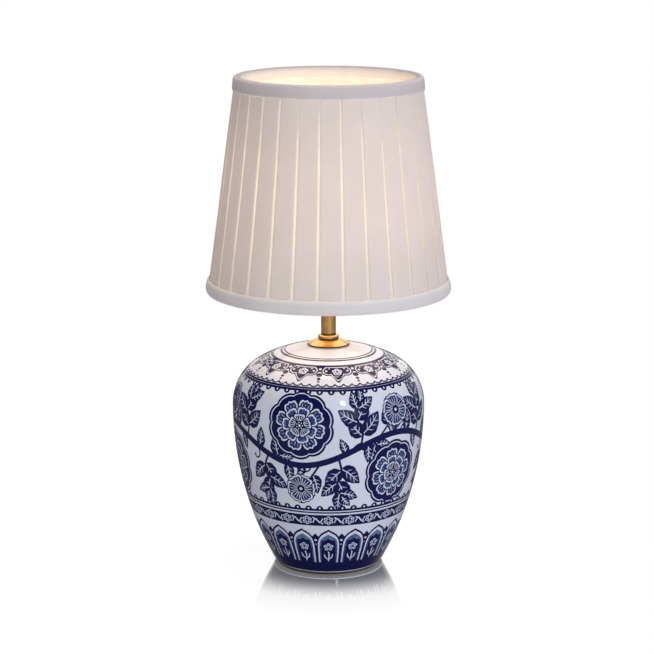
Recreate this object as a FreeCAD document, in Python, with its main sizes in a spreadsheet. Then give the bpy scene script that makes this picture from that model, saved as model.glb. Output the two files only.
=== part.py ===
import FreeCAD, Part
import math
import os
import Sketcher

# Ginger jar table lamp: a porcelain jar on a felt base, a brass stem, a small lampholder with its bulb,
# and a pleated cloth shade on a wire frame. All lengths are in millimetres.
# The origin is on the table under the middle of the jar, +Z is up and the front faces -Y.

SIZES = {
    # Jar: the outside is three arcs, and the inside runs parallel to them
    "felt_thickness": 1.2,
    "felt_inset": 0.9,
    "foot_edge_inset": 1.0,
    "foot_edge_height": 2.6,
    "foot_ring_width": 6.0,
    "foot_recess_depth": 6.0,
    "belly_radius": 65.0,
    "belly_height": 111.4,
    "lower_arc_radius": 227.0,
    "shoulder_arc_radius": 33.5,
    "dome_arc_radius": 102.0,
    "jar_wall": 4.5,
    "access_hole_radius": 22.0,
    "neck_clearance": 0.3,
    # Cord inlet in the back of the jar
    "inlet_height": 23.4,
    "inlet_bore_radius": 3.3,
    "inlet_wall": 1.4,
    "inlet_clearance": 0.15,
    "inlet_flange_width": 1.9,
    "inlet_flange_thickness": 1.5,
    "inlet_barb_width": 0.7,
    "inlet_barb_length": 2.2,
    # Brass stem with its fastening inside the jar
    "stem_radius": 5.0,
    "stem_wall": 1.0,
    "stem_below_washer": 13.0,
    "stem_in_holder": 9.0,
    "thread_pitch": 1.0,
    "thread_depth": 0.45,
    "bore_clearance": 0.06,
    "cut_overrun": 2.0,
    "gasket_thickness": 2.2,
    "cap_radius": 14.4,
    "cap_crown_margin": 0.4,
    "cap_arc_radius": 20.0,
    "cap_sheet": 0.8,
    "cap_rim_gap": 0.5,
    "collar_wall": 1.94,
    "collar_height": 3.1,
    "collar_round": 1.0,
    "washer_radius": 14.0,
    "washer_thickness": 1.6,
    "spring_washer_radius": 8.2,
    "spring_washer_thickness": 1.8,
    "spring_washer_slit": 1.4,
    "nut_across_corners": 19.6,
    "nut_height": 5.0,
    "end_bush_flange": 5.6,
    "end_bush_wall": 0.6,
    "end_bush_depth": 5.0,
    "end_bush_lip": 1.0,
    # Lampholder on top of the stem
    "holder_height": 197.4,
    "holder_nose_radius": 7.2,
    "holder_nose_height": 4.0,
    "holder_cap_wall": 1.8,
    "holder_shoulder_height": 10.5,
    "holder_cap_height": 20.0,
    "holder_ledge": 2.0,
    "holder_socket_play": 0.2,
    "holder_socket_floor": 13.0,
    "holder_cavity_floor": 10.8,
    "locking_screw_radius": 1.5,
    "locking_screw_length": 4.0,
    "core_flange_play": 0.3,
    "core_flange_thickness": 2.0,
    "core_play": 0.3,
    "core_height": 10.0,
    "terminal_offset": 7.0,
    "terminal_head_radius": 2.4,
    "terminal_head_height": 1.8,
    "terminal_shank_radius": 1.4,
    "terminal_shank_length": 5.0,
    "terminal_slot_width": 0.7,
    "skirt_spigot_radius": 13.0,
    "skirt_wall": 1.1,
    "skirt_flange_width": 2.9,
    "skirt_flange_thickness": 2.0,
    "skirt_thread_step": 1.0,
    "skirt_thread_length": 25.0,
    "skirt_lip_step": 0.1,
    "skirt_lip_length": 6.5,
    "shade_thread_pitch": 2.4,
    "shade_thread_depth": 0.55,
    "shell_bore_radius": 7.2,
    "shell_wall": 0.7,
    "shell_length": 21.0,
    "shell_foot_radius": 9.0,
    "shell_groove_radius": 0.45,
    "contact_width": 4.0,
    "contact_thickness": 0.5,
    "contact_rise": 1.6,
    "contact_length": 9.0,
    "contact_foot_length": 3.0,
    # Bulb
    "bulb_contact_gap": 0.3,
    "bulb_contact_radius": 2.4,
    "bulb_contact_height": 1.2,
    "bulb_insulator_radius": 6.0,
    "bulb_insulator_height": 4.2,
    "bulb_cap_radius": 6.95,
    "bulb_cap_wall": 0.5,
    "bulb_thread_length": 14.0,
    "bulb_thread_pitch": 2.8,
    "bulb_groove_radius": 0.5,
    "bulb_collar_radius": 8.5,
    "bulb_collar_length": 5.8,
    "bulb_glass_radius": 22.5,
    "bulb_glass_wall": 0.8,
    "bulb_neck_radius": 7.7,
    "bulb_neck_arc_radius": 17.0,
    "bulb_joint_radius": 14.85,
    "bulb_length": 78.0,
    "bulb_stem_radius": 2.6,
    "bulb_stem_length": 16.0,
    "filament_height": 14.0,
    "filament_half_span": 7.0,
    "filament_radius": 0.6,
    "lead_radius": 0.4,
    # Shade ring that clamps the shade on the holder
    "ring_play": 0.1,
    "ring_thread_clearance": 0.25,
    "ring_flange_width": 0.9,
    "ring_flange_thickness": 2.0,
    "ring_wall": 2.35,
    "ring_height": 8.0,
    "ring_flute_count": 18,
    "ring_flute_radius": 0.8,
    # Shade frame
    "shade_height": 333.4,
    "shade_foot": 188.4,
    "fitter_play": 0.6,
    "fitter_width": 5.4,
    "fitter_thickness": 1.2,
    "arm_count": 4,
    "arm_radius": 1.2,
    "arm_start": 1.4,
    "wire_radius": 1.4,
    "rib_count": 6,
    "rib_radius": 1.0,
    "rib_phase": 45.0,
    # Shade cloth: the radius is that of the pleats' flats
    "cover_top_radius": 61.95,
    "cover_foot_radius": 80.8,
    "binding_roll": 2.0,
    "pleat_count": 30,
    "pleat_phase": 7.0,
    "pleat_groove": 1.7,
    "pleat_fold": 0.25,
    "pleat_depth": 0.9,
    "cloth_thickness": 0.6,
    "lining_thickness": 0.5,
    "layer_gap": 0.15,
    "wire_seat": 3.5,
    "top_binding_stand": 1.8,
    "top_binding_depth": 9.4,
    "foot_binding_stand": 1.6,
    "foot_binding_depth": 9.6,
    "binding_edge": 0.5,
    "binding_inner_depth": 6.8,
    "binding_cloth": 0.8,
    "binding_corner": 1.9,
    "foot_binding_bulge": 19.2,
}

FULL_TURN = 360.0
QUARTER_TURN = 90.0

document = FreeCAD.newDocument("GingerJarLamp")
sheet = document.addObject("Spreadsheet::Sheet", "Sizes")
for row, (alias, number) in enumerate(SIZES.items(), start=1):
    sheet.set(f"A{row}", alias)
    sheet.set(f"B{row}", str(number))
    sheet.setAlias(f"B{row}", alias)
document.recompute()


# Sizes that stay bound to the sheet

class Size:
    """A number together with the expression that binds it to the sheet."""

    def __init__(self, text, value):
        self.text = text
        self.value = value

    def __add__(self, other):
        other = as_size(other)
        return Size(f"({self.text} + {other.text})", self.value + other.value)

    def __radd__(self, other):
        return as_size(other) + self

    def __sub__(self, other):
        other = as_size(other)
        return Size(f"({self.text} - {other.text})", self.value - other.value)

    def __rsub__(self, other):
        return as_size(other) - self

    def __mul__(self, other):
        other = as_size(other)
        return Size(f"({self.text} * {other.text})", self.value * other.value)

    def __rmul__(self, other):
        return as_size(other) * self

    def __truediv__(self, other):
        other = as_size(other)
        return Size(f"({self.text} / {other.text})", self.value / other.value)

    def __neg__(self):
        return Size(f"(0 - {self.text})", -self.value)


def as_size(number):
    """A plain number as a size."""
    if isinstance(number, Size):
        return number
    return Size(f"{float(number)!r}", float(number))


def root(size):
    """Square root of a size."""
    return Size(f"sqrt({size.text})", math.sqrt(size.value))


def square(size):
    """A size times itself."""
    return size * size


def of(alias):
    """The size that the sheet holds under this alias."""
    return Size(f"Sizes.{alias}", float(SIZES[alias]))


def bind(thing, prop, size):
    """Ties one property of an object to the sheet."""
    thing.setExpression(prop, as_size(size).text)


# Outlines, turned pieces and simple solids

def arc_to(x, y, radius, turn):
    """A corner that the outline reaches along an arc, turning left or right of its way."""
    return {"x": as_size(x), "y": as_size(y), "radius": as_size(radius), "turn": turn}


def line_to(x, y):
    """A corner that the outline reaches along a straight line."""
    return {"x": as_size(x), "y": as_size(y), "radius": None, "turn": None}


def arc_between(start, end, radius, turn):
    """The shorter arc from start to end, and whether its own start is the outline's end."""
    chord = end - start
    across = FreeCAD.Vector(-chord.y, chord.x, 0).normalize()
    reach = math.sqrt(max(radius ** 2 - (chord.Length / 2) ** 2, 0))
    side = 1 if turn == "left" else -1
    centre = (start + end) / 2 + across * reach * side
    first, last = (start, end) if turn == "left" else (end, start)
    first_angle = math.atan2(first.y - centre.y, first.x - centre.x)
    last_angle = math.atan2(last.y - centre.y, last.x - centre.x)
    if last_angle < first_angle:
        last_angle += math.radians(FULL_TURN)
    circle = Part.Circle(centre, FreeCAD.Vector(0, 0, 1), radius)
    return Part.ArcOfCircle(circle, first_angle, last_angle), turn == "right"


def fix_point(sketch, edge, end, x, y):
    """Places one end of an edge by two distances from the sketch's origin."""
    for kind, size, axis in (("DistanceX", x, -2), ("DistanceY", y, -1)):
        if size.value == 0:
            sketch.addConstraint(Sketcher.Constraint("PointOnObject", edge, end, axis))
            continue
        number = sketch.addConstraint(Sketcher.Constraint(kind, -1, 1, edge, end, size.value))
        sketch.setExpression(f"Constraints[{number}]", size.text)


def draw_outline(sketch, corners):
    """Draws a closed outline with every corner and radius tied to the sheet."""
    points = [FreeCAD.Vector(corner["x"].value, corner["y"].value, 0) for corner in corners]
    start_ends = []
    for index, start in enumerate(points):
        target = corners[(index + 1) % len(corners)]
        end = points[(index + 1) % len(points)]
        if target["radius"] is None:
            sketch.addGeometry(Part.LineSegment(start, end), False)
            start_ends.append((1, 2))
            continue
        arc, is_reversed = arc_between(start, end, target["radius"].value, target["turn"])
        sketch.addGeometry(arc, False)
        start_ends.append((2, 1) if is_reversed else (1, 2))
    for index in range(len(points)):
        following = (index + 1) % len(points)
        ends = (index, start_ends[index][1], following, start_ends[following][0])
        sketch.addConstraint(Sketcher.Constraint("Coincident", *ends))
    for index, corner in enumerate(corners):
        fix_point(sketch, index, start_ends[index][0], corner["x"], corner["y"])
    for index in range(len(points)):
        radius = corners[(index + 1) % len(corners)]["radius"]
        if radius is not None:
            number = sketch.addConstraint(Sketcher.Constraint("Radius", index, radius.value))
            sketch.setExpression(f"Constraints[{number}]", radius.text)


def new_sketch(body, name, plane="XZ_Plane"):
    """An empty sketch on one of the body's own planes."""
    sketch = body.newObject("Sketcher::SketchObject", name)
    support = next(item for item in body.Origin.OriginFeatures if item.Role == plane)
    sketch.AttachmentSupport = (support, [""])
    sketch.MapMode = "FlatFace"
    return sketch


def turned(label, corners):
    """A body made by turning an outline of radius and height once round the Z axis."""
    body = document.addObject("PartDesign::Body", label)
    body.Label = label
    sketch = new_sketch(body, f"{label}_outline")
    draw_outline(sketch, corners)
    revolution = body.newObject("PartDesign::Revolution", f"{label}_turned")
    revolution.Profile = sketch
    revolution.ReferenceAxis = (sketch, ["V_Axis"])
    revolution.Angle = FULL_TURN
    sketch.Visibility = False
    return body


def ring_grooves(body, name, corners, pitch, count):
    """Turned grooves at an even pitch up the body, standing for a thread."""
    document.recompute()
    before = body.Shape.Volume
    sketch = new_sketch(body, f"{name}_outline")
    draw_outline(sketch, corners)
    groove = body.newObject("PartDesign::Groove", name)
    groove.Profile = sketch
    groove.ReferenceAxis = (sketch, ["V_Axis"])
    groove.Angle = FULL_TURN
    pattern = body.newObject("PartDesign::LinearPattern", f"{name}_row")
    pattern.Originals = [groove]
    pattern.Direction = (sketch, ["V_Axis"])
    pattern.Occurrences = count
    bind(pattern, "Length", pitch * (count - 1))
    body.Tip = pattern
    document.recompute()
    if body.Shape.Volume >= before:
        raise RuntimeError(f"{name} cut nothing")


def vee_groove(radius, height, depth, width):
    """Corners of a groove with straight sides that opens outwards at this radius."""
    return [
        line_to(radius - depth, height),
        line_to(radius + depth, height + width),
        line_to(radius + depth, height - width),
    ]


def round_groove(radius, height, groove_radius):
    """Corners of a half-round groove that opens outwards at this radius."""
    return [
        line_to(radius + groove_radius, height - groove_radius),
        line_to(radius + groove_radius, height + groove_radius),
        line_to(radius, height + groove_radius),
        arc_to(radius - groove_radius, height, groove_radius, "left"),
        arc_to(radius, height - groove_radius, groove_radius, "left"),
    ]


def cylinder(name, radius, height, x=0.0, y=0.0, z=0.0):
    """An upright cylinder with its foot at x, y, z."""
    solid = document.addObject("Part::Cylinder", name)
    bind(solid, "Radius", radius)
    bind(solid, "Height", height)
    for axis, size in (("x", x), ("y", y), ("z", z)):
        bind(solid, f"Placement.Base.{axis}", size)
    return solid


def cut(label, base, tool):
    """One solid with another taken out of it."""
    solid = document.addObject("Part::Cut", label)
    solid.Label = label
    solid.Base = base
    solid.Tool = tool
    return solid


def rod_between(name, radius, start, end):
    """A round rod between two points, each given as three sizes."""
    start = [as_size(size) for size in start]
    end = [as_size(size) for size in end]
    run = [last - first for first, last in zip(start, end)]
    length = root(square(run[0]) + square(run[1]) + square(run[2]))
    rod = cylinder(name, radius, length, *start)
    direction = FreeCAD.Vector(*[size.value for size in run])
    rod.Placement.Rotation = FreeCAD.Rotation(FreeCAD.Vector(0, 0, 1), direction)
    return rod


def group(label, solids):
    """Alike solids that share one name."""
    compound = document.addObject("Part::Compound", label)
    compound.Label = label
    compound.Links = solids
    return compound


def polar(radius, height, degrees):
    """The point at this radius, height and angle round the lamp's axis."""
    angle = math.radians(degrees)
    return [radius * math.cos(angle), radius * math.sin(angle), as_size(height)]


# Heights and radii that follow from the driving sizes

shoulder_centre_radius = of("belly_radius") - of("shoulder_arc_radius")
centres_apart = of("dome_arc_radius") - of("shoulder_arc_radius")
dome_centre_drop = root(square(centres_apart) - square(shoulder_centre_radius))
dome_centre_height = of("belly_height") - dome_centre_drop
jar_top = dome_centre_height + of("dome_arc_radius")
lower_centre_radius = of("belly_radius") - of("lower_arc_radius")


def lower_wall_radius(height, inset=0):
    """Radius of the jar's lower wall at a height, set in from the outside."""
    reach = root(square(of("lower_arc_radius") - inset) - square(of("belly_height") - height))
    return lower_centre_radius + reach


def dome_height(radius, inset=0):
    """Height of the jar's top at a radius, set in from the outside."""
    return dome_centre_height + root(square(of("dome_arc_radius") - inset) - square(as_size(radius)))


def shoulder_end(inset=0):
    """Where the shoulder arc meets the dome arc."""
    share = (of("dome_arc_radius") - inset) / centres_apart
    return shoulder_centre_radius * share, dome_centre_height + dome_centre_drop * share


foot_radius = lower_wall_radius(of("foot_edge_height")) - of("foot_edge_inset")
gasket_foot = dome_height(of("stem_radius"))
cap_flat = gasket_foot + of("gasket_thickness") + of("cap_sheet")
collar_top = cap_flat + of("collar_height")
washer_top = dome_height(of("washer_radius"), of("jar_wall"))
spring_top = washer_top - of("washer_thickness")
nut_top = spring_top - of("spring_washer_thickness")
stem_foot = washer_top - of("stem_below_washer")
stem_top = of("holder_height") + of("stem_in_holder")
fastening_bore = of("stem_radius") + of("bore_clearance")
stem_bore = of("stem_radius") - of("stem_wall")
collar_radius = fastening_bore + of("collar_wall")
crown_radius = collar_radius + of("cap_crown_margin")

holder_foot = of("holder_height")
skirt_bore = of("skirt_spigot_radius") - of("skirt_wall")
skirt_lip_radius = of("skirt_spigot_radius") + of("skirt_lip_step")
skirt_thread_radius = of("skirt_spigot_radius") + of("skirt_thread_step")
skirt_flange_radius = skirt_thread_radius + of("skirt_flange_width")
socket_radius = of("skirt_spigot_radius") + of("holder_socket_play")
throat_radius = socket_radius - of("holder_ledge")
holder_radius = socket_radius + of("holder_cap_wall")
core_flange_radius = socket_radius - of("core_flange_play")
core_radius = skirt_bore - of("core_play")
core_foot = holder_foot + of("holder_socket_floor")
skirt_foot = core_foot + of("core_flange_thickness")
core_top = skirt_foot + of("core_height")
skirt_flange_foot = holder_foot + of("holder_cap_height")
shade_seat = skirt_flange_foot + of("skirt_flange_thickness")
thread_top = shade_seat + of("skirt_thread_length")
skirt_top = thread_top + of("skirt_lip_length")

bulb_foot = core_top + of("contact_thickness") + of("contact_rise") + of("bulb_contact_gap")
insulator_foot = bulb_foot + of("bulb_contact_height")
bulb_cap_foot = insulator_foot + of("bulb_insulator_height")
bulb_thread_top = bulb_cap_foot + of("bulb_thread_length")
bulb_cap_top = bulb_thread_top + of("bulb_collar_length")
glass_top = bulb_foot + of("bulb_length")
glass_centre = glass_top - of("bulb_glass_radius")

fitter_bore = skirt_thread_radius + of("fitter_play")
fitter_radius = fitter_bore + of("fitter_width")
fitter_top = shade_seat + of("fitter_thickness")
ring_foot = fitter_top + of("ring_play")
ring_bore = skirt_thread_radius + of("ring_thread_clearance")
ring_body_radius = ring_bore + of("ring_wall")
ring_flange_radius = ring_body_radius + of("ring_flange_width")

cover_top = of("shade_height") - of("binding_roll")
cover_foot = of("shade_foot") + of("binding_roll")
cover_taper = (of("cover_foot_radius") - of("cover_top_radius")) / (cover_top - cover_foot)


def flat_radius(height):
    """Radius of the pleats' flats at a height."""
    return of("cover_foot_radius") - (height - cover_foot) * cover_taper


cover_wall = of("pleat_depth") + of("cloth_thickness")
lining_inset = cover_wall + 2 * of("layer_gap") + 2 * of("rib_radius")
top_wire_height = of("shade_height") - of("wire_seat")
foot_wire_height = of("shade_foot") + of("wire_seat")


def wire_ring_radius(height):
    """Radius of a wire ring that lies inside the cover."""
    return flat_radius(height) - cover_wall - of("layer_gap") - of("wire_radius")


def rib_line_radius(height):
    """Radius of a rib's centre line at a height."""
    return flat_radius(height) - cover_wall - of("layer_gap") - of("rib_radius")


# Jar, felt and cord inlet

def make_jar():
    """Hollow porcelain jar with a foot ring, an access hole below and holes for stem and cord."""
    wall = of("jar_wall")
    foot = of("felt_thickness")
    floor_under = foot + of("foot_recess_depth")
    floor_top = floor_under + wall
    foot_inside = foot_radius - of("foot_ring_width")
    neck_radius = of("stem_radius") + of("neck_clearance")
    shoulder_radius, shoulder_height = shoulder_end()
    inner_radius, inner_height = shoulder_end(wall)
    body = turned("jar_shell", [
        line_to(foot_inside, foot),
        line_to(foot_radius, foot),
        line_to(lower_wall_radius(of("foot_edge_height")), of("foot_edge_height")),
        arc_to(of("belly_radius"), of("belly_height"), of("lower_arc_radius"), "left"),
        arc_to(shoulder_radius, shoulder_height, of("shoulder_arc_radius"), "left"),
        arc_to(neck_radius, dome_height(neck_radius), of("dome_arc_radius"), "left"),
        line_to(neck_radius, dome_height(neck_radius, wall)),
        arc_to(inner_radius, inner_height, of("dome_arc_radius") - wall, "right"),
        arc_to(of("belly_radius") - wall, of("belly_height"), of("shoulder_arc_radius") - wall, "right"),
        arc_to(lower_wall_radius(floor_top, wall), floor_top, of("lower_arc_radius") - wall, "right"),
        line_to(of("access_hole_radius"), floor_top),
        line_to(of("access_hole_radius"), floor_under),
        line_to(foot_inside, floor_under),
    ])
    hole_radius = of("inlet_bore_radius") + of("inlet_wall") + of("inlet_clearance")
    overrun = of("cut_overrun")
    drill = cylinder("cord_hole", hole_radius, wall + 2 * overrun)
    place_on_wall(drill, -wall - overrun)
    return cut("jar_body", body, drill)


def place_on_wall(piece, outward):
    """Stands a piece square on the back of the jar's lower wall, moved outwards along its own axis."""
    slant = (of("belly_height") - of("inlet_height")) / of("lower_arc_radius")
    upright = root(1 - square(slant))
    bind(piece, "Placement.Base.x", 0)
    bind(piece, "Placement.Base.y", lower_wall_radius(of("inlet_height")) + outward * upright)
    bind(piece, "Placement.Base.z", of("inlet_height") - outward * slant)
    direction = FreeCAD.Vector(0, upright.value, -slant.value)
    piece.Placement.Rotation = FreeCAD.Rotation(FreeCAD.Vector(0, 0, 1), direction)


def make_felt():
    """Felt disc glued under the foot ring."""
    felt = cylinder("base_felt", foot_radius - of("felt_inset"), of("felt_thickness"))
    felt.Label = "base_felt"
    return felt


def make_inlet():
    """Bush that lines the cord hole, with a flange outside and a barb inside."""
    bore = of("inlet_bore_radius")
    neck = bore + of("inlet_wall")
    flange = neck + of("inlet_flange_width")
    barb = neck + of("inlet_barb_width")
    barb_top = -(of("jar_wall") + of("inlet_barb_width"))
    barb_foot = barb_top - of("inlet_barb_length")
    bush = turned("cord_inlet", [
        line_to(bore, barb_foot),
        line_to(neck, barb_foot),
        line_to(barb, barb_top),
        line_to(neck, barb_top),
        line_to(neck, of("layer_gap")),
        line_to(flange, of("layer_gap")),
        arc_to(flange - of("inlet_flange_thickness"), of("layer_gap") + of("inlet_flange_thickness"),
               of("inlet_flange_thickness"), "left"),
        line_to(bore, of("layer_gap") + of("inlet_flange_thickness")),
    ])
    place_on_wall(bush, as_size(0))
    return bush


# Stem and what clamps it to the jar

def make_stem():
    """Brass tube with a thread at each end."""
    stem = turned("stem_tube", [
        line_to(stem_bore, stem_foot),
        line_to(of("stem_radius"), stem_foot),
        line_to(of("stem_radius"), stem_top),
        line_to(stem_bore, stem_top),
    ])
    pitch = of("thread_pitch")
    depth = of("thread_depth")
    lower_count = int((cap_flat.value - stem_foot.value) / pitch.value) - 1
    upper_count = int(of("stem_in_holder").value / pitch.value) - 1
    lower = vee_groove(of("stem_radius"), stem_foot + pitch, depth, depth)
    upper = vee_groove(of("stem_radius"), holder_foot + pitch, depth, depth)
    ring_grooves(stem, "lower_thread", lower, pitch, lower_count)
    ring_grooves(stem, "upper_thread", upper, pitch, upper_count)
    return stem


def make_gasket():
    """Rubber ring between the porcelain and the brass cap."""
    outside = crown_radius - of("cap_sheet") / 2 - of("layer_gap")
    return turned("neck_gasket", [
        line_to(fastening_bore, gasket_foot),
        line_to(outside, gasket_foot),
        line_to(outside, gasket_foot + of("gasket_thickness")),
        line_to(fastening_bore, gasket_foot + of("gasket_thickness")),
    ])


def make_vase_cap():
    """Shallow spun brass cap over the jar's neck hole."""
    sheet_metal = of("cap_sheet")
    rim_height = dome_height(of("cap_radius") - sheet_metal) + of("cap_rim_gap")
    return turned("vase_cap", [
        line_to(fastening_bore, cap_flat - sheet_metal),
        line_to(crown_radius - sheet_metal / 2, cap_flat - sheet_metal),
        arc_to(of("cap_radius") - sheet_metal, rim_height, of("cap_arc_radius"), "right"),
        line_to(of("cap_radius"), rim_height),
        line_to(of("cap_radius"), rim_height + sheet_metal / 2),
        arc_to(crown_radius, cap_flat, of("cap_arc_radius"), "left"),
        line_to(fastening_bore, cap_flat),
    ])


def make_collar():
    """Turned brass collar that tightens on the cap."""
    round_radius = of("collar_round")
    return turned("cap_collar", [
        line_to(fastening_bore, cap_flat),
        line_to(collar_radius - round_radius, cap_flat),
        arc_to(collar_radius, cap_flat + round_radius, round_radius, "left"),
        line_to(collar_radius, collar_top - round_radius),
        arc_to(collar_radius - round_radius, collar_top, round_radius, "left"),
        line_to(fastening_bore, collar_top),
    ])


def make_washer():
    """Wide steel washer that bears on the inside of the jar."""
    return turned("clamp_washer", [
        line_to(fastening_bore, spring_top),
        line_to(of("washer_radius"), spring_top),
        line_to(of("washer_radius"), washer_top),
        line_to(fastening_bore, washer_top),
    ])


def make_spring_washer():
    """Split spring washer under the wide one."""
    ring = turned("spring_ring", [
        line_to(fastening_bore, nut_top),
        line_to(of("spring_washer_radius"), nut_top),
        line_to(of("spring_washer_radius"), spring_top),
        line_to(fastening_bore, spring_top),
    ])
    overrun = of("cut_overrun")
    slit = document.addObject("Part::Box", "spring_slit")
    bind(slit, "Length", of("spring_washer_radius") + overrun)
    bind(slit, "Width", of("spring_washer_slit"))
    bind(slit, "Height", of("spring_washer_thickness") + 2 * overrun)
    bind(slit, "Placement.Base.y", -of("spring_washer_slit") / 2)
    bind(slit, "Placement.Base.z", nut_top - overrun)
    return cut("spring_washer", ring, slit)


def make_nut():
    """Hexagon nut that pulls the stem down inside the jar."""
    prism = document.addObject("Part::Prism", "nut_prism")
    prism.Polygon = 6
    bind(prism, "Circumradius", of("nut_across_corners") / 2)
    bind(prism, "Height", of("nut_height"))
    bind(prism, "Placement.Base.z", nut_top - of("nut_height"))
    overrun = of("cut_overrun")
    bore = cylinder("nut_bore", fastening_bore, of("nut_height") + 2 * overrun,
                    z=nut_top - of("nut_height") - overrun)
    return cut("stem_nut", prism, bore)


def make_end_bush():
    """Plastic bush that guards the stem's sharp lower end."""
    outside = stem_bore - of("bore_clearance")
    bore = outside - of("end_bush_wall")
    return turned("stem_end_bush", [
        line_to(bore, stem_foot - of("end_bush_lip")),
        line_to(of("end_bush_flange"), stem_foot - of("end_bush_lip")),
        line_to(of("end_bush_flange"), stem_foot),
        line_to(outside, stem_foot),
        line_to(outside, stem_foot + of("end_bush_depth")),
        line_to(bore, stem_foot + of("end_bush_depth")),
    ])


# Lampholder

def make_holder_cap():
    """Brass cup that screws on the stem and carries the lampholder."""
    nose_top = holder_foot + of("holder_nose_height")
    shoulder = holder_foot + of("holder_shoulder_height")
    bore_top = stem_top + of("bore_clearance")
    flare = holder_radius - of("holder_nose_radius")
    cup = turned("holder_cup", [
        line_to(fastening_bore, holder_foot),
        line_to(of("holder_nose_radius"), holder_foot),
        line_to(of("holder_nose_radius"), nose_top),
        arc_to(holder_radius, shoulder, flare, "left"),
        line_to(holder_radius, skirt_flange_foot),
        line_to(socket_radius, skirt_flange_foot),
        line_to(socket_radius, core_foot),
        line_to(throat_radius, core_foot),
        line_to(throat_radius, holder_foot + of("holder_cavity_floor")),
        line_to(stem_bore, holder_foot + of("holder_cavity_floor")),
        line_to(stem_bore, bore_top),
        line_to(fastening_bore, bore_top),
    ])
    hole = rod_between("locking_hole", of("locking_screw_radius") + of("bore_clearance"),
                       (0, fastening_bore - of("bore_clearance"), locking_height()),
                       (0, of("holder_nose_radius") + of("cut_overrun"), locking_height()))
    return cut("holder_cap", cup, hole)


def locking_height():
    """Height of the screw that keeps the holder from turning on the stem."""
    return holder_foot + of("holder_nose_height") / 2


def make_locking_screw():
    """Headless screw through the holder's nose."""
    start = fastening_bore
    screw = rod_between("locking_screw", of("locking_screw_radius"), (0, start, locking_height()),
                        (0, start + of("locking_screw_length"), locking_height()))
    screw.Label = "locking_screw"
    return screw


def make_core():
    """Ceramic core that holds the contacts, with a hole for each terminal screw."""
    body = turned("core_blank", [
        line_to(0, core_foot),
        line_to(core_flange_radius, core_foot),
        line_to(core_flange_radius, skirt_foot),
        line_to(core_radius, skirt_foot),
        line_to(core_radius, core_top),
        line_to(0, core_top),
    ])
    for name, side in (("left_hole", -1), ("right_hole", 1)):
        drill = cylinder(f"terminal_{name}", of("terminal_shank_radius") + of("bore_clearance"),
                         of("terminal_shank_length") + of("layer_gap"),
                         x=side * of("terminal_offset"), z=core_foot)
        body = cut(f"core_with_{name}", body, drill)
    body.Label = "holder_core"
    return body


def make_terminals():
    """Two slotted terminal screws in the underside of the core."""
    screws = []
    for name, side in (("left", -1), ("right", 1)):
        centre = side * of("terminal_offset")
        head_foot = core_foot - of("terminal_head_height")
        head = cylinder(f"{name}_screw_head", of("terminal_head_radius"), of("terminal_head_height"),
                        x=centre, z=head_foot)
        shank = cylinder(f"{name}_screw_shank", of("terminal_shank_radius"), of("terminal_shank_length"),
                         x=centre, z=core_foot)
        screw = document.addObject("Part::Fuse", f"{name}_screw")
        screw.Base = head
        screw.Tool = shank
        overrun = of("cut_overrun")
        slot = document.addObject("Part::Box", f"{name}_screw_slot")
        bind(slot, "Length", 2 * (of("terminal_head_radius") + overrun))
        bind(slot, "Width", of("terminal_slot_width"))
        bind(slot, "Height", of("terminal_head_height") / 2 + overrun)
        bind(slot, "Placement.Base.x", centre - of("terminal_head_radius") - overrun)
        bind(slot, "Placement.Base.y", -of("terminal_slot_width") / 2)
        bind(slot, "Placement.Base.z", head_foot - overrun)
        screws.append(cut(f"{name}_slotted_screw", screw, slot))
    return group("terminal_screws", screws)


def make_skirt():
    """Outer sleeve of the holder, with a flange for the shade and a coarse thread for its ring."""
    skirt = turned("holder_skirt", [
        line_to(skirt_bore, skirt_foot),
        line_to(of("skirt_spigot_radius"), skirt_foot),
        line_to(of("skirt_spigot_radius"), skirt_flange_foot),
        line_to(skirt_flange_radius, skirt_flange_foot),
        line_to(skirt_flange_radius, shade_seat),
        line_to(skirt_thread_radius, shade_seat),
        line_to(skirt_thread_radius, thread_top),
        line_to(skirt_lip_radius, thread_top),
        line_to(skirt_lip_radius, skirt_top),
        line_to(skirt_bore, skirt_top),
    ])
    pitch = of("shade_thread_pitch")
    depth = of("shade_thread_depth")
    count = int((of("skirt_thread_length").value - pitch.value) / pitch.value)
    groove = vee_groove(skirt_thread_radius, shade_seat + pitch, depth, 2 * depth)
    ring_grooves(skirt, "skirt_thread", groove, pitch, count)
    return skirt


def make_screw_shell():
    """Rolled contact sleeve that takes the bulb's cap."""
    inside = of("shell_bore_radius")
    outside = inside + of("shell_wall")
    shell = turned("screw_shell", [
        line_to(inside, core_top),
        line_to(of("shell_foot_radius"), core_top),
        line_to(of("shell_foot_radius"), core_top + of("shell_wall")),
        line_to(outside, core_top + of("shell_wall")),
        line_to(outside, core_top + of("shell_length")),
        line_to(inside, core_top + of("shell_length")),
    ])
    pitch = of("bulb_thread_pitch")
    count = int((of("shell_length").value - pitch.value) / pitch.value)
    groove = round_groove(outside, core_top + pitch + pitch / 2, of("shell_groove_radius"))
    ring_grooves(shell, "shell_thread", groove, pitch, count)
    return shell


def make_centre_contact():
    """Springy strip that presses on the bulb's foot contact."""
    body = document.addObject("PartDesign::Body", "centre_contact")
    body.Label = "centre_contact"
    sketch = new_sketch(body, "centre_contact_side")
    end = of("contact_length") / 2
    bend = end - of("contact_foot_length")
    thick = of("contact_thickness")
    crest = core_top + of("contact_rise")
    draw_outline(sketch, [
        line_to(-end, core_top),
        line_to(-bend, core_top),
        line_to(bend, crest),
        line_to(end, crest),
        line_to(end, crest + thick),
        line_to(bend, crest + thick),
        line_to(-bend, core_top + thick),
        line_to(-end, core_top + thick),
    ])
    pad = body.newObject("PartDesign::Pad", "centre_contact_strip")
    pad.Profile = sketch
    pad.Midplane = True
    bind(pad, "Length", of("contact_width"))
    return body


# Bulb

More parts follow.
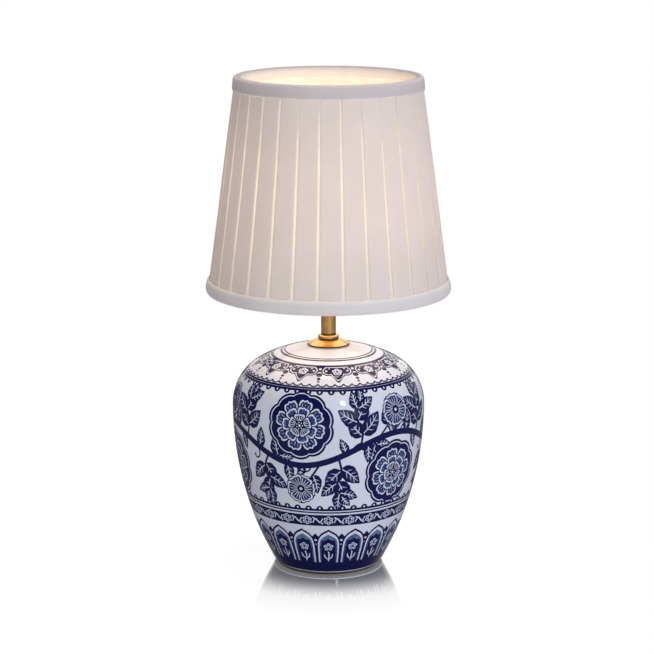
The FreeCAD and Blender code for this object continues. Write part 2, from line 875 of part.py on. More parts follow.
def make_bulb_contact():
    """Domed foot contact of the bulb."""
    radius = of("bulb_contact_radius")
    rise = of("bulb_contact_height")
    dome_radius = (square(radius) + square(rise / 2)) / rise
    return turned("bulb_contact", [
        line_to(0, bulb_foot),
        arc_to(radius, bulb_foot + rise / 2, dome_radius, "left"),
        line_to(radius, insulator_foot),
        line_to(0, insulator_foot),
    ])


def make_insulator():
    """Dark glass cone between the bulb's two contacts."""
    return turned("bulb_insulator", [
        line_to(0, insulator_foot),
        line_to(of("bulb_contact_radius") + of("bulb_cap_wall"), insulator_foot),
        line_to(of("bulb_insulator_radius"), bulb_cap_foot),
        line_to(0, bulb_cap_foot),
    ])


def make_bulb_cap():
    """Screw cap of the bulb, flared to a collar round the glass neck."""
    outside = of("bulb_cap_radius")
    inside = outside - of("bulb_cap_wall") - of("bulb_groove_radius")
    collar = of("bulb_collar_radius")
    flare_top = bulb_thread_top + (collar - outside)
    cap = turned("bulb_cap", [
        line_to(inside, bulb_cap_foot),
        line_to(outside, bulb_cap_foot),
        line_to(outside, bulb_thread_top),
        line_to(collar, flare_top),
        line_to(collar, bulb_cap_top),
        line_to(collar - of("bulb_cap_wall"), bulb_cap_top),
        line_to(collar - of("bulb_cap_wall"), flare_top),
        line_to(inside, bulb_thread_top),
    ])
    pitch = of("bulb_thread_pitch")
    count = int((of("bulb_thread_length").value - pitch.value / 2) / pitch.value)
    groove = round_groove(outside, bulb_cap_foot + pitch / 2, of("bulb_groove_radius"))
    ring_grooves(cap, "bulb_thread", groove, pitch, count)
    return cap


def make_glass():
    """Round opal glass with a short neck, hollow."""
    wall = of("bulb_glass_wall")
    neck = of("bulb_neck_radius")
    neck_foot = bulb_thread_top + (of("bulb_collar_radius") - of("bulb_cap_radius")) + of("layer_gap")
    globe = of("bulb_glass_radius")
    joint_radius = of("bulb_joint_radius")
    joint_drop = root(square(globe) - square(joint_radius))
    inner = globe - wall
    inner_joint_radius = joint_radius * inner / globe
    inner_joint_drop = joint_drop * inner / globe
    return turned("bulb_glass", [
        line_to(neck - wall, neck_foot),
        line_to(neck, neck_foot),
        line_to(neck, bulb_cap_top),
        arc_to(joint_radius, glass_centre - joint_drop, of("bulb_neck_arc_radius"), "right"),
        arc_to(globe, glass_centre, globe, "left"),
        arc_to(0, glass_top, globe, "left"),
        line_to(0, glass_top - wall),
        arc_to(inner, glass_centre, inner, "right"),
        arc_to(inner_joint_radius, glass_centre - inner_joint_drop, inner, "right"),
        arc_to(neck - wall, bulb_cap_top, of("bulb_neck_arc_radius") + wall, "left"),
    ])


def make_bulb_stem():
    """Glass stem that carries the lead wires inside the bulb."""
    foot = bulb_cap_top - of("bulb_collar_length") / 2
    flange = of("bulb_neck_radius") - of("bulb_glass_wall") - of("layer_gap")
    stem = of("bulb_stem_radius")
    top = foot + of("bulb_stem_length")
    return turned("bulb_stem", [
        line_to(0, foot),
        line_to(flange, foot),
        arc_to(stem, foot + (flange - stem), flange - stem, "right"),
        line_to(stem, top),
        line_to(0, top),
    ])


def make_filament():
    """Two lead wires and the filament across their tips."""
    stem_end = bulb_cap_top - of("bulb_collar_length") / 2 + of("bulb_stem_length")
    tip_height = stem_end + of("filament_height")
    span = of("filament_half_span")
    foot = of("bulb_stem_radius") / 2
    left = rod_between("left_lead", of("lead_radius"), (-foot, 0, stem_end), (-span, 0, tip_height))
    right = rod_between("right_lead", of("lead_radius"), (foot, 0, stem_end), (span, 0, tip_height))
    coil = rod_between("glow_wire", of("filament_radius"), (-span, 0, tip_height), (span, 0, tip_height))
    joined = document.addObject("Part::MultiFuse", "bulb_filament")
    joined.Label = "bulb_filament"
    joined.Shapes = [left, right, coil]
    return joined


# Shade ring and wire frame

def make_shade_ring():
    """Fluted ring that screws down on the shade's fitter."""
    flange_top = ring_foot + of("ring_flange_thickness")
    top = ring_foot + of("ring_height")
    ring = turned("shade_ring", [
        line_to(ring_bore, ring_foot),
        line_to(ring_flange_radius, ring_foot),
        line_to(ring_flange_radius, flange_top),
        line_to(ring_body_radius, flange_top),
        line_to(ring_body_radius, top),
        line_to(ring_bore, top),
    ])
    document.recompute()
    before = ring.Shape.Volume
    sketch = new_sketch(ring, "flute_outline", "XY_Plane")
    flute_line = ring_body_radius + of("ring_flute_radius") / 2
    centre = FreeCAD.Vector(flute_line.value, 0, 0)
    circle = Part.Circle(centre, FreeCAD.Vector(0, 0, 1), of("ring_flute_radius").value)
    sketch.addGeometry(circle, False)
    fix_point(sketch, 0, 3, flute_line, as_size(0))
    number = sketch.addConstraint(Sketcher.Constraint("Radius", 0, of("ring_flute_radius").value))
    sketch.setExpression(f"Constraints[{number}]", of("ring_flute_radius").text)
    bind(sketch, "AttachmentOffset.Base.z", flange_top)
    flute = ring.newObject("PartDesign::Pocket", "flute")
    flute.Profile = sketch
    flute.Reversed = True
    bind(flute, "Length", of("ring_height"))
    flutes = ring.newObject("PartDesign::PolarPattern", "flutes")
    flutes.Originals = [flute]
    flutes.Axis = (sketch, ["N_Axis"])
    flutes.Angle = FULL_TURN
    bind(flutes, "Occurrences", of("ring_flute_count"))
    ring.Tip = flutes
    document.recompute()
    if ring.Shape.Volume >= before:
        raise RuntimeError("the flutes cut nothing")
    return ring


def make_fitter_ring():
    """Flat ring that rests on the holder's flange."""
    return turned("fitter_ring", [
        line_to(fitter_bore, shade_seat),
        line_to(fitter_radius, shade_seat),
        line_to(fitter_radius, fitter_top),
        line_to(fitter_bore, fitter_top),
    ])


def arm_rods(name, radius):
    """Rods along the lines of the arms, from the fitter ring down to the foot ring."""
    count = int(of("arm_count").value)
    start_radius = fitter_radius - of("arm_start")
    start_height = shade_seat + of("fitter_thickness") / 2
    rods = []
    for index in range(count):
        degrees = index * FULL_TURN / count
        start = polar(start_radius, start_height, degrees)
        end_radius = wire_ring_radius(foot_wire_height) - of("wire_radius") / 2
        end = polar(end_radius, foot_wire_height, degrees)
        rods.append(rod_between(f"{name}_{index + 1}", radius, start, end))
    return rods


def make_arms():
    """Wires that carry the frame on the fitter ring."""
    return group("fitter_arms", arm_rods("arm", of("arm_radius")))


def notch_for_arms(label, cloth):
    """Cloth with a close notch round each arm that passes through it."""
    room = group(f"{label}_notches", arm_rods(f"{label}_notch", of("arm_radius") + of("layer_gap")))
    return cut(label, cloth, room)


def make_wire_ring(label, height):
    """Round wire ring at one end of the frame."""
    ring = document.addObject("Part::Torus", label)
    ring.Label = label
    bind(ring, "Radius1", wire_ring_radius(height))
    bind(ring, "Radius2", of("wire_radius"))
    bind(ring, "Placement.Base.z", height)
    return ring


def make_ribs():
    """Straight wires between the two rings, one solid each."""
    count = int(of("rib_count").value)
    ribs = []
    for index in range(count):
        degrees = of("rib_phase").value + index * FULL_TURN / count
        start = polar(rib_line_radius(foot_wire_height), foot_wire_height, degrees)
        end = polar(rib_line_radius(top_wire_height), top_wire_height, degrees)
        ribs.append(rod_between(f"rib_{index + 1}", of("rib_radius"), start, end))
    return group("frame_ribs", ribs)


# Shade cloth

def make_lining():
    """Smooth lining inside the ribs, between the two wire rings."""
    foot = foot_wire_height + of("wire_radius") + 2 * of("layer_gap")
    top = top_wire_height - of("wire_radius") - 2 * of("layer_gap")
    lining = turned("lining_cone", [
        line_to(flat_radius(foot) - lining_inset - of("lining_thickness"), foot),
        line_to(flat_radius(foot) - lining_inset, foot),
        line_to(flat_radius(top) - lining_inset, top),
        line_to(flat_radius(top) - lining_inset - of("lining_thickness"), top),
    ])
    return notch_for_arms("shade_lining", lining)


def pleat_wire(height):
    """Closed ring of folds at one height: a narrow groove, then a wide flat, all the way round."""
    flat = flat_radius(height).value
    groove = flat - of("pleat_depth").value
    count = int(of("pleat_count").value)
    pitch = FULL_TURN / count
    half_groove = math.degrees(of("pleat_groove").value / 2 / flat)
    half_mouth = half_groove + math.degrees(of("pleat_fold").value / flat)
    points = []
    for index in range(count):
        middle = of("pleat_phase").value - QUARTER_TURN + index * pitch
        for radius, turn in ((flat, -half_mouth), (groove, -half_groove), (groove, half_groove),
                             (flat, half_mouth)):
            angle = math.radians(middle + turn)
            x = radius * math.cos(angle)
            y = radius * math.sin(angle)
            points.append(FreeCAD.Vector(x, y, as_size(height).value))
    return Part.makePolygon(points + points[:1])


def make_cover():
    """Pleated cloth stretched outside the frame."""
    outside = Part.makeLoft([pleat_wire(cover_foot), pleat_wire(cover_top)], True, True)
    inner_foot = (flat_radius(cover_foot) - cover_wall).value
    inner_top = (flat_radius(cover_top) - cover_wall).value
    height = (cover_top - cover_foot).value
    foot = FreeCAD.Vector(0, 0, cover_foot.value)
    inside = Part.makeCone(inner_foot, inner_top, height, foot, FreeCAD.Vector(0, 0, 1))
    cover = document.addObject("Part::Feature", "pleated_cover")
    cover.Label = "pleated_cover"
    cover.Shape = outside.cut(inside)
    return cover


def make_top_binding():
    """Cloth strip folded over the top edge of the shade."""
    gap = of("layer_gap")
    corner = of("binding_corner")
    rim = of("shade_height")
    edge = rim - of("top_binding_depth")
    outside = flat_radius(cover_top) + of("top_binding_stand")
    edge_outside = flat_radius(edge) + gap + of("binding_edge")
    inner_edge = rim - of("binding_inner_depth")
    pocket_inside = wire_ring_radius(top_wire_height) - of("wire_radius") - gap
    inside = pocket_inside - of("binding_cloth")
    pocket_top = cover_top + gap
    return turned("top_binding", [
        line_to(flat_radius(edge) + gap, edge),
        line_to(edge_outside, edge),
        line_to(outside, edge + of("binding_edge")),
        line_to(outside, rim - corner),
        arc_to(outside - corner, rim, corner, "left"),
        line_to(inside + corner, rim),
        arc_to(inside, rim - corner, corner, "left"),
        line_to(inside, inner_edge),
        line_to(pocket_inside, inner_edge),
        line_to(pocket_inside, pocket_top),
        line_to(flat_radius(cover_top) + gap, pocket_top),
    ])


def make_foot_binding():
    """Cloth strip rolled round the lower edge of the shade."""
    gap = of("layer_gap")
    corner = of("binding_corner")
    rim = of("shade_foot")
    edge = rim + of("foot_binding_depth")
    outside = flat_radius(cover_foot) + of("foot_binding_stand")
    inner_edge = rim + of("binding_inner_depth")
    pocket_inside = flat_radius(inner_edge) - lining_inset - of("lining_thickness") - gap
    inside = pocket_inside - of("binding_cloth")
    pocket_foot = cover_foot - gap
    shoulder = edge - of("foot_binding_depth") / 2
    edge_outside = flat_radius(edge) + gap + of("binding_edge")
    binding = turned("foot_binding_roll", [
        line_to(flat_radius(edge) + gap, edge),
        line_to(flat_radius(cover_foot) + gap, pocket_foot),
        line_to(pocket_inside, pocket_foot),
        line_to(pocket_inside, inner_edge),
        line_to(inside, inner_edge),
        line_to(inside, rim + corner),
        arc_to(inside + corner, rim, corner, "left"),
        line_to(outside - corner, rim),
        arc_to(outside, rim + corner, corner, "left"),
        line_to(outside, shoulder),
        arc_to(edge_outside, edge, of("foot_binding_bulge"), "left"),
    ])
    return notch_for_arms("foot_binding", binding)


# Building, checking and writing every piece

SUB_PARTS = [
    make_jar(),
    make_felt(),
    make_inlet(),
    make_stem(),
    make_gasket(),
    make_vase_cap(),
    make_collar(),
    make_washer(),
    make_spring_washer(),
    make_nut(),
    make_end_bush(),
    make_holder_cap(),
    make_locking_screw(),
    make_core(),
    make_terminals(),
    make_skirt(),
    make_screw_shell(),
    make_centre_contact(),
    make_bulb_contact(),
    make_insulator(),
    make_bulb_cap(),
    make_glass(),
    make_bulb_stem(),
    make_filament(),
    make_shade_ring(),
    make_fitter_ring(),
    make_arms(),
    make_wire_ring("top_wire_ring", top_wire_height),
    make_wire_ring("foot_wire_ring", foot_wire_height),
    make_ribs(),
    make_lining(),
    make_cover(),
    make_top_binding(),
    make_foot_binding(),
]

document.recompute()

for item in document.Objects:
    if "Invalid" in item.State or "Error" in item.State:
        raise RuntimeError(f"{item.Label} failed: {item.State}")
for piece in SUB_PARTS:
    if piece.Shape.isNull() or not piece.Shape.isValid():
        raise RuntimeError(f"{piece.Label} has no valid shape")

os.makedirs("parts", exist_ok=True)
for piece in SUB_PARTS:
    piece.Shape.exportStep(f"parts/{piece.Label}.step")
    box = piece.Shape.BoundBox
    print(f"{piece.Label}: {len(piece.Shape.Solids)} solid, {piece.Shape.Volume:.0f} mm3, "
          f"z {box.ZMin:.2f} to {box.ZMax:.2f}, radius {box.XMax:.2f}")
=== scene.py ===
"""Ginger jar table lamp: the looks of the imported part, built around its fixed frame.

Every class below is one sub-assembly of the lamp or one kind of finish. Lengths are in metres,
in the frame of the part: the lamp stands on z = 0, its front faces -Y.
"""
import logging
import math
from collections.abc import Callable, Sequence
from dataclasses import dataclass, field
from enum import Enum
from functools import cache

import bpy
import numpy as np
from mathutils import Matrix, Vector
from mathutils.geometry import delaunay_2d_cdt


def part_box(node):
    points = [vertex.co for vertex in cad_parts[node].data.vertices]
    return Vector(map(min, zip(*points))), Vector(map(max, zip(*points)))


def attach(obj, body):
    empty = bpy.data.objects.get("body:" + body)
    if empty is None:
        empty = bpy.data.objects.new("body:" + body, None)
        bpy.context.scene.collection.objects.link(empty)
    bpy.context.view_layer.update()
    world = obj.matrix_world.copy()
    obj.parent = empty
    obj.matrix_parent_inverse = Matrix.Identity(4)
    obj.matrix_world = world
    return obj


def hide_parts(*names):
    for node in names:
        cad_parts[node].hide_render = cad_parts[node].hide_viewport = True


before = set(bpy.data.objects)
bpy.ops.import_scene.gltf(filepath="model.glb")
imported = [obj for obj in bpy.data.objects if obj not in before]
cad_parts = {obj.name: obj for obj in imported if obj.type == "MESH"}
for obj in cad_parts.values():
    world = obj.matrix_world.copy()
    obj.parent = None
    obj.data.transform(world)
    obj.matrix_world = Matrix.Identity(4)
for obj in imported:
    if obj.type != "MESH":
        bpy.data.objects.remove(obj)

log = logging.getLogger("ginger_jar_lamp")

Point = tuple[float, float]
Colour = tuple[float, float, float]

MM = 0.001
CLOTH_UV = "cloth"
GLOW = "glow"
TONE = "tone"
FACING = "facing"
GLAZE_ROUGHNESS = 0.07
NAVY = 1.0
BARE = 0.0
PEEL = (130.0, 1.0)
PEEL_SHARE = 0.22
PEEL_DEPTH = 0.12 * MM
WHITE = (1.0, 1.0, 1.0)
BLACK = (0.0, 0.0, 0.0)


class Body(Enum):
    """The moving bodies that the pieces made here ride on."""

    LAMP = "lamp"
    SHADE = "shade"


class Graph:
    """Adds nodes to a node tree and links them, for materials, groups and geometry alike."""

    def __init__(self, tree: bpy.types.NodeTree) -> None:
        """Keeps the tree that the nodes go into."""
        self.tree = tree

    def plug(self, value: object, socket: bpy.types.NodeSocket) -> None:
        """Links an output to a socket, or sets a plain value on it.

        Args:
            value: an output, a plain value, or None to leave the socket as it is.
            socket: the input to set.
        """
        if isinstance(value, bpy.types.NodeSocket):
            self.tree.links.new(value, socket)
        elif value is not None:
            socket.default_value = value

    def add(self, kind: str, inputs: dict | None = None, **settings: object) -> bpy.types.Node:
        """Adds one node.

        Args:
            kind: the node's type name.
            inputs: values or outputs for its input sockets, by name or number.
            settings: the node's own properties.

        Returns:
            The node.
        """
        node = self.tree.nodes.new(kind)
        for name, value in settings.items():
            setattr(node, name, value)
        for key, value in (inputs or {}).items():
            self.plug(value, node.inputs[key])
        return node

    def math(self, operation: str, *values: object, clamp: bool = False) -> bpy.types.NodeSocket:
        """Adds a Math node and returns its output."""
        kind = "ShaderNodeMath"
        return self.add(kind, dict(enumerate(values)), operation=operation, use_clamp=clamp).outputs[0]

    def total(self, *values: object) -> bpy.types.NodeSocket:
        """Adds up any count of values.

        Args:
            values: outputs or plain numbers.

        Returns:
            Their sum.
        """
        result = values[0]
        for value in values[1:]:
            result = self.math("ADD", result, value)
        return result

    def product(self, *values: object) -> bpy.types.NodeSocket:
        """Multiplies any count of values.

        Args:
            values: outputs or plain numbers.

        Returns:
            Their product.
        """
        result = values[0]
        for value in values[1:]:
            result = self.math("MULTIPLY", result, value)
        return result

    def minus(self, first: object, second: object) -> bpy.types.NodeSocket:
        """Takes a second value from a first."""
        return self.math("SUBTRACT", first, second)

    def object_place(self) -> bpy.types.NodeSocket:
        """Reads the Object coordinates."""
        return self.add("ShaderNodeTexCoord").outputs["Object"]

    def split(self, vector: object) -> bpy.types.NodeOutputs:
        """Splits a vector into its three numbers."""
        return self.add("ShaderNodeSeparateXYZ", {0: vector}).outputs

    def vector(self, *parts: object) -> bpy.types.NodeSocket:
        """Joins up to three numbers into a vector."""
        return self.add("ShaderNodeCombineXYZ", dict(enumerate(parts))).outputs[0]

    def around(self, radius: object, angle: object, height: object) -> bpy.types.NodeSocket:
        """Gives the point at a radius, an angle from the front round the lamp's axis, and a height."""
        return self.vector(self.product(radius, self.math("SINE", angle)),
                           self.product(radius, self.math("COSINE", angle), -1.0), height)

    def from_axis(self, axes: bpy.types.NodeOutputs) -> bpy.types.NodeSocket:
        """Gives the distance from the lamp's axis."""
        return self.math("SQRT", self.total(self.product(axes[0], axes[0]), self.product(axes[1], axes[1])))

    def blend(self, start: object, end: object, share: object) -> bpy.types.NodeSocket:
        """Goes from one number to another by a share."""
        return self.total(self.product(start, self.minus(1.0, share)), self.product(end, share))

    def ramp(self, value: object, start: object, end: object, low: object = 0.0, high: object = 1.0,
             smooth: bool = True) -> bpy.types.NodeSocket:
        """Maps a value from start..end to low..high, held at the ends.

        Args:
            value: the value to map.
            start: where the ramp starts.
            end: where it ends.
            low: the result at the start.
            high: the result at the end.
            smooth: whether the ramp eases in and out.

        Returns:
            The mapped value.
        """
        kind = "SMOOTHSTEP" if smooth else "LINEAR"
        inputs = {"Value": value, "From Min": start, "From Max": end, "To Min": low, "To Max": high}
        return self.add("ShaderNodeMapRange", inputs, interpolation_type=kind).outputs["Result"]

    def mix(self, factor: object, first: object, second: object, blend: str = "MIX") -> bpy.types.NodeSocket:
        """Mixes two colours.

        Args:
            factor: the second colour's share.
            first: the first colour.
            second: the second colour.
            blend: how they mix.

        Returns:
            The mixed colour.
        """
        node = self.add("ShaderNodeMix", data_type="RGBA", blend_type=blend)
        self.plug(factor, node.inputs[0])
        self.plug(opaque(first), node.inputs[6])
        self.plug(opaque(second), node.inputs[7])
        return node.outputs[2]

    def noise(self, vector: object, scale: object, detail: float = 2.0,
              roughness: float = 0.5) -> bpy.types.NodeSocket:
        """Adds a Noise texture and returns its value."""
        inputs = {"Vector": vector, "Scale": scale, "Detail": detail, "Roughness": roughness}
        return self.add("ShaderNodeTexNoise", inputs).outputs[0]

    def group(self, tree: bpy.types.NodeTree, **inputs: object) -> bpy.types.Node:
        """Places a node group with its own values, underscores in the names standing for spaces.

        Args:
            tree: the group to place.
            inputs: its values by name.

        Returns:
            The placed node.
        """
        kind = "GeometryNodeGroup" if tree.bl_idname == "GeometryNodeTree" else "ShaderNodeGroup"
        node = self.add(kind, node_tree=tree)
        for name, value in inputs.items():
            self.plug(opaque(value), node.inputs[name.replace("_", " ")])
        return node

    def attribute(self, name: str) -> bpy.types.NodeSocket:
        """Reads a mesh attribute as a number."""
        return self.add("ShaderNodeAttribute", attribute_name=name).outputs["Fac"]


def opaque(value: object) -> object:
    """Gives a colour of three numbers its fourth, and leaves any other value alone.

    Args:
        value: a colour or any other value for a socket.

    Returns:
        The value to put into the socket.
    """
    if isinstance(value, tuple) and len(value) == 3:
        return (*value, 1.0)
    return value


def new_tree(name: str, kind: str, inputs: dict[str, tuple[str, object]],
             outputs: dict[str, str]) -> tuple[Graph, bpy.types.Node, bpy.types.Node]:
    """Starts a node group.

    Args:
        name: the group's name.
        kind: GeometryNodeTree or ShaderNodeTree.
        inputs: for each input its socket kind and its default.
        outputs: for each output its socket kind.

    Returns:
        The graph to add nodes to, and the group's input and output nodes.
    """
    tree = bpy.data.node_groups.new(name, kind)
    for label, (socket, value) in inputs.items():
        item = tree.interface.new_socket(label, in_out="INPUT", socket_type="NodeSocket" + socket)
        if value is not None:
            item.default_value = opaque(value)
    for label, socket in outputs.items():
        tree.interface.new_socket(label, in_out="OUTPUT", socket_type="NodeSocket" + socket)
    graph = Graph(tree)
    return graph, graph.add("NodeGroupInput"), graph.add("NodeGroupOutput")


def size_tree(name: str, sizes: dict[str, float]) -> tuple[Graph, bpy.types.Node, bpy.types.Node]:
    """Starts a Geometry Nodes tree that takes a geometry, named sizes and a material.

    Args:
        name: the tree's name.
        sizes: each size with its default, whole numbers for counts.

    Returns:
        The graph to add nodes to, and the tree's input and output nodes.
    """
    kinds = {label: ("Int" if isinstance(size, int) else "Float", size) for label, size in sizes.items()}
    inputs = {"Geometry": ("Geometry", None), **kinds, "Material": ("Material", None)}
    return new_tree(name, "GeometryNodeTree", inputs, {"Geometry": "Geometry"})


def end_tree(graph: Graph, geometry: object, material: object, result: bpy.types.Node) -> bpy.types.NodeTree:
    """Ends a Geometry Nodes tree with real geometry that has its material.

    Args:
        graph: the tree's graph.
        geometry: what the tree has made.
        material: the material input.
        result: the tree's output node.

    Returns:
        The finished tree.
    """
    real = graph.add("GeometryNodeRealizeInstances", {"Geometry": geometry})
    dressed = graph.add("GeometryNodeSetMaterial", {"Geometry": real.outputs[0], "Material": material})
    graph.plug(dressed.outputs[0], result.inputs["Geometry"])
    return graph.tree


@cache
def mottle_group() -> bpy.types.NodeTree:
    """Shader group: a colour that drifts towards a second one in soft clouds.

    Returns:
        The group.
    """
    inputs = {"Base": ("Color", (1, 1, 1)), "Tint": ("Color", (1, 1, 1)),
              "Size": ("Float", 60.0), "Amount": ("Float", 0.5)}
    graph, given, result = new_tree("mottle", "ShaderNodeTree", inputs, {"Color": "Color", "Mask": "Float"})
    place = graph.object_place()
    clouds = graph.noise(place, given.outputs["Size"], 4.0, 0.6)
    mask = graph.ramp(clouds, 0.35, 0.65)
    share = graph.product(mask, given.outputs["Amount"])
    graph.plug(graph.mix(share, given.outputs["Base"], given.outputs["Tint"]), result.inputs["Color"])
    graph.plug(mask, result.inputs["Mask"])
    return graph.tree


@cache
def weave_group() -> bpy.types.NodeTree:
    """Shader group: the over and under of plain woven threads, with slubs in them.

    Returns:
        The group.
    """
    inputs = {"Threads": ("Float", 2200.0), "Slub": ("Float", 0.5)}
    graph, given, result = new_tree("weave", "ShaderNodeTree", inputs, {"Height": "Float", "Shade": "Float"})
    flat = graph.add("ShaderNodeUVMap", uv_map=CLOTH_UV).outputs[0]
    axes = graph.split(flat)
    warp, weft = (graph.math("SINE", graph.product(axes[number], given.outputs["Threads"], math.pi))
                  for number in (0, 1))
    threads = graph.ramp(graph.math("ABSOLUTE", graph.product(warp, weft)), 0.0, 0.7)
    pull = graph.add("ShaderNodeMapping", {"Vector": flat, "Scale": (900.0, 60.0, 1.0)}).outputs[0]
    lay = graph.add("ShaderNodeMapping", {"Vector": flat, "Scale": (60.0, 700.0, 1.0)}).outputs[0]
    slubs = graph.math("MAXIMUM", graph.noise(pull, 1.0, 3.0), graph.noise(lay, 1.0, 3.0))
    thick = graph.product(graph.ramp(slubs, 0.55, 0.8), given.outputs["Slub"])
    graph.plug(graph.total(graph.product(threads, 0.6), thick), result.inputs["Height"])
    graph.plug(graph.total(graph.product(threads, 0.25), thick), result.inputs["Shade"])
    return graph.tree


@cache
def turning_group() -> bpy.types.NodeTree:
    """Shader group: fine tool and polishing lines that run round the lamp's axis, with stray scratches.

    Returns:
        The group.
    """
    inputs = {"Lines": ("Float", 6000.0), "Stray": ("Float", 0.4)}
    graph, given, result = new_tree("turning", "ShaderNodeTree", inputs, {"Height": "Float", "Wear": "Float"})
    place = graph.object_place()
    axes = graph.split(place)
    round_axis = graph.math("ARCTAN2", axes[1], axes[0])
    stretched = graph.vector(graph.from_axis(axes), graph.product(round_axis, 0.0004), axes[2])
    lines = graph.noise(stretched, given.outputs["Lines"], 3.0)
    loose = graph.add("ShaderNodeMapping", {"Vector": place, "Rotation": (0.4, 0.9, 0.3),
                                            "Scale": (2200.0, 90.0, 500.0)})
    stray = graph.ramp(graph.noise(loose.outputs[0], 1.0, 4.0, 0.7), 0.62, 0.74)
    graph.plug(graph.total(lines, graph.product(stray, given.outputs["Stray"])), result.inputs["Height"])
    graph.plug(graph.total(graph.product(graph.ramp(graph.noise(place, 90.0, 5.0, 0.6), 0.4, 0.7), 0.6),
                           graph.product(stray, given.outputs["Stray"])), result.inputs["Wear"])
    return graph.tree


@cache
def grain_group() -> bpy.types.NodeTree:
    """Shader group: fine grain of moulded, fired or felted stuff, in two sizes.

    Returns:
        The group.
    """
    inputs = {"Fine": ("Float", 3000.0), "Coarse": ("Float", 400.0)}
    graph, given, result = new_tree("grain", "ShaderNodeTree", inputs, {"Height": "Float", "Mask": "Float"})
    place = graph.object_place()
    fine = graph.noise(place, given.outputs["Fine"], 2.0)
    coarse = graph.noise(place, given.outputs["Coarse"], 3.0)
    graph.plug(graph.total(graph.product(fine, 0.7), graph.product(coarse, 0.5)), result.inputs["Height"])
    graph.plug(graph.ramp(coarse, 0.4, 0.65), result.inputs["Mask"])
    return graph.tree


@dataclass(frozen=True)
class Finish:
    """A finish: the material's name and its main colour."""

    name: str
    colour: Colour

    def material(self) -> bpy.types.Material:
        """Gives the Blender material, made at its first use.

        Returns:
            The material.
        """
        found = bpy.data.materials.get(self.name)
        if found:
            return found
        made = bpy.data.materials.new(self.name)
        made.use_nodes = True
        made.node_tree.nodes.clear()
        graph = Graph(made.node_tree)
        shader = graph.add("ShaderNodeBsdfPrincipled", {"Base Color": opaque(self.colour)})
        graph.add("ShaderNodeOutputMaterial", {"Surface": shader.outputs[0]})
        self.paint(graph, shader)
        return made

    def paint(self, graph: Graph, shader: bpy.types.Node) -> None:
        """Adds this finish's own nodes; each kind of finish has its own."""

    def bump(self, graph: Graph, shader: bpy.types.Node, height: object, depth: float) -> None:
        """Turns a height into the shader's normal.

        Args:
            graph: the material's graph.
            shader: the material's Principled BSDF.
            height: the height, from 0 to 1.
            depth: how deep a height of 1 is.
        """
        bump = graph.add("ShaderNodeBump", {"Strength": 1.0, "Distance": depth, "Height": height})
        graph.plug(bump.outputs[0], shader.inputs["Normal"])


@dataclass(frozen=True)
class Glaze(Finish):
    """White porcelain under a clear gloss, bare and matt on the foot ring, with painted light on the shoulder
    and painted shade on the dome and the bare foot.
    """

    tint: Colour = (0.64, 0.70, 0.87)
    # Bare foot ring: the grey of its unglazed body, darkened further as painted shade under the jar.
    bare_colour_and_shade: Colour = (0.20, 0.195, 0.20)
    bare_tint_and_shade: Colour = (0.13, 0.125, 0.13)
    bare_height: float = 2.2 * MM
    bare_roughness: float = 0.75
    # Painted light on the shoulder and painted shade on the dome near the cap, each between two heights.
    lit_shoulder_colour: Colour = (0.83, 0.885, 0.99)
    lit_shoulder_heights: Point = (0.126, 0.139)
    shaded_dome_colour: Colour = (0.63, 0.65, 0.68)
    shaded_dome_heights: Point = (0.1478, 0.1535)

    def paint(self, graph: Graph, shader: bpy.types.Node) -> None:
        """Adds a faint blue-grey drift, lighter and warmer on the shoulder as painted light and greyer on the
        dome as painted shade, an orange-peel glaze, and the bare foot darkened with painted shade.

        Args:
            graph: the material's graph.
            shader: its Principled BSDF.
        """
        mottled = graph.group(mottle_group(), Base=self.colour, Tint=self.tint, Size=38.0, Amount=0.35)
        place = graph.object_place()
        height = graph.split(place)[2]
        edge = graph.total(height, graph.product(graph.noise(place, 160.0), 0.2 * MM))
        glazed = graph.ramp(edge, self.bare_height, self.bare_height + 0.3 * MM)
        grain = graph.group(grain_group(), Fine=2600.0, Coarse=300.0)
        # Painted light: the shoulder turns lighter and warmer. Painted shade: the dome near the cap turns
        # darker and greyer.
        shoulder = graph.ramp(height, *self.lit_shoulder_heights)
        glaze = graph.mix(shoulder, mottled.outputs["Color"], self.lit_shoulder_colour)
        glaze = graph.mix(graph.ramp(height, *self.shaded_dome_heights), glaze, self.shaded_dome_colour)
        # The bare foot ring's dark grey is partly its own body and partly painted shade.
        body = graph.mix(grain.outputs["Mask"], self.bare_colour_and_shade, self.bare_tint_and_shade)
        graph.plug(graph.mix(glazed, body, glaze), shader.inputs["Base Color"])
        roughness = graph.ramp(glazed, 0.0, 1.0, self.bare_roughness, GLAZE_ROUGHNESS, smooth=False)
        graph.plug(roughness, shader.inputs["Roughness"])
        rough = graph.product(graph.minus(1.0, glazed), grain.outputs["Height"])
        peel = graph.product(graph.noise(place, *PEEL), PEEL_SHARE)
        self.bump(graph, shader, graph.total(peel, rough), PEEL_DEPTH)


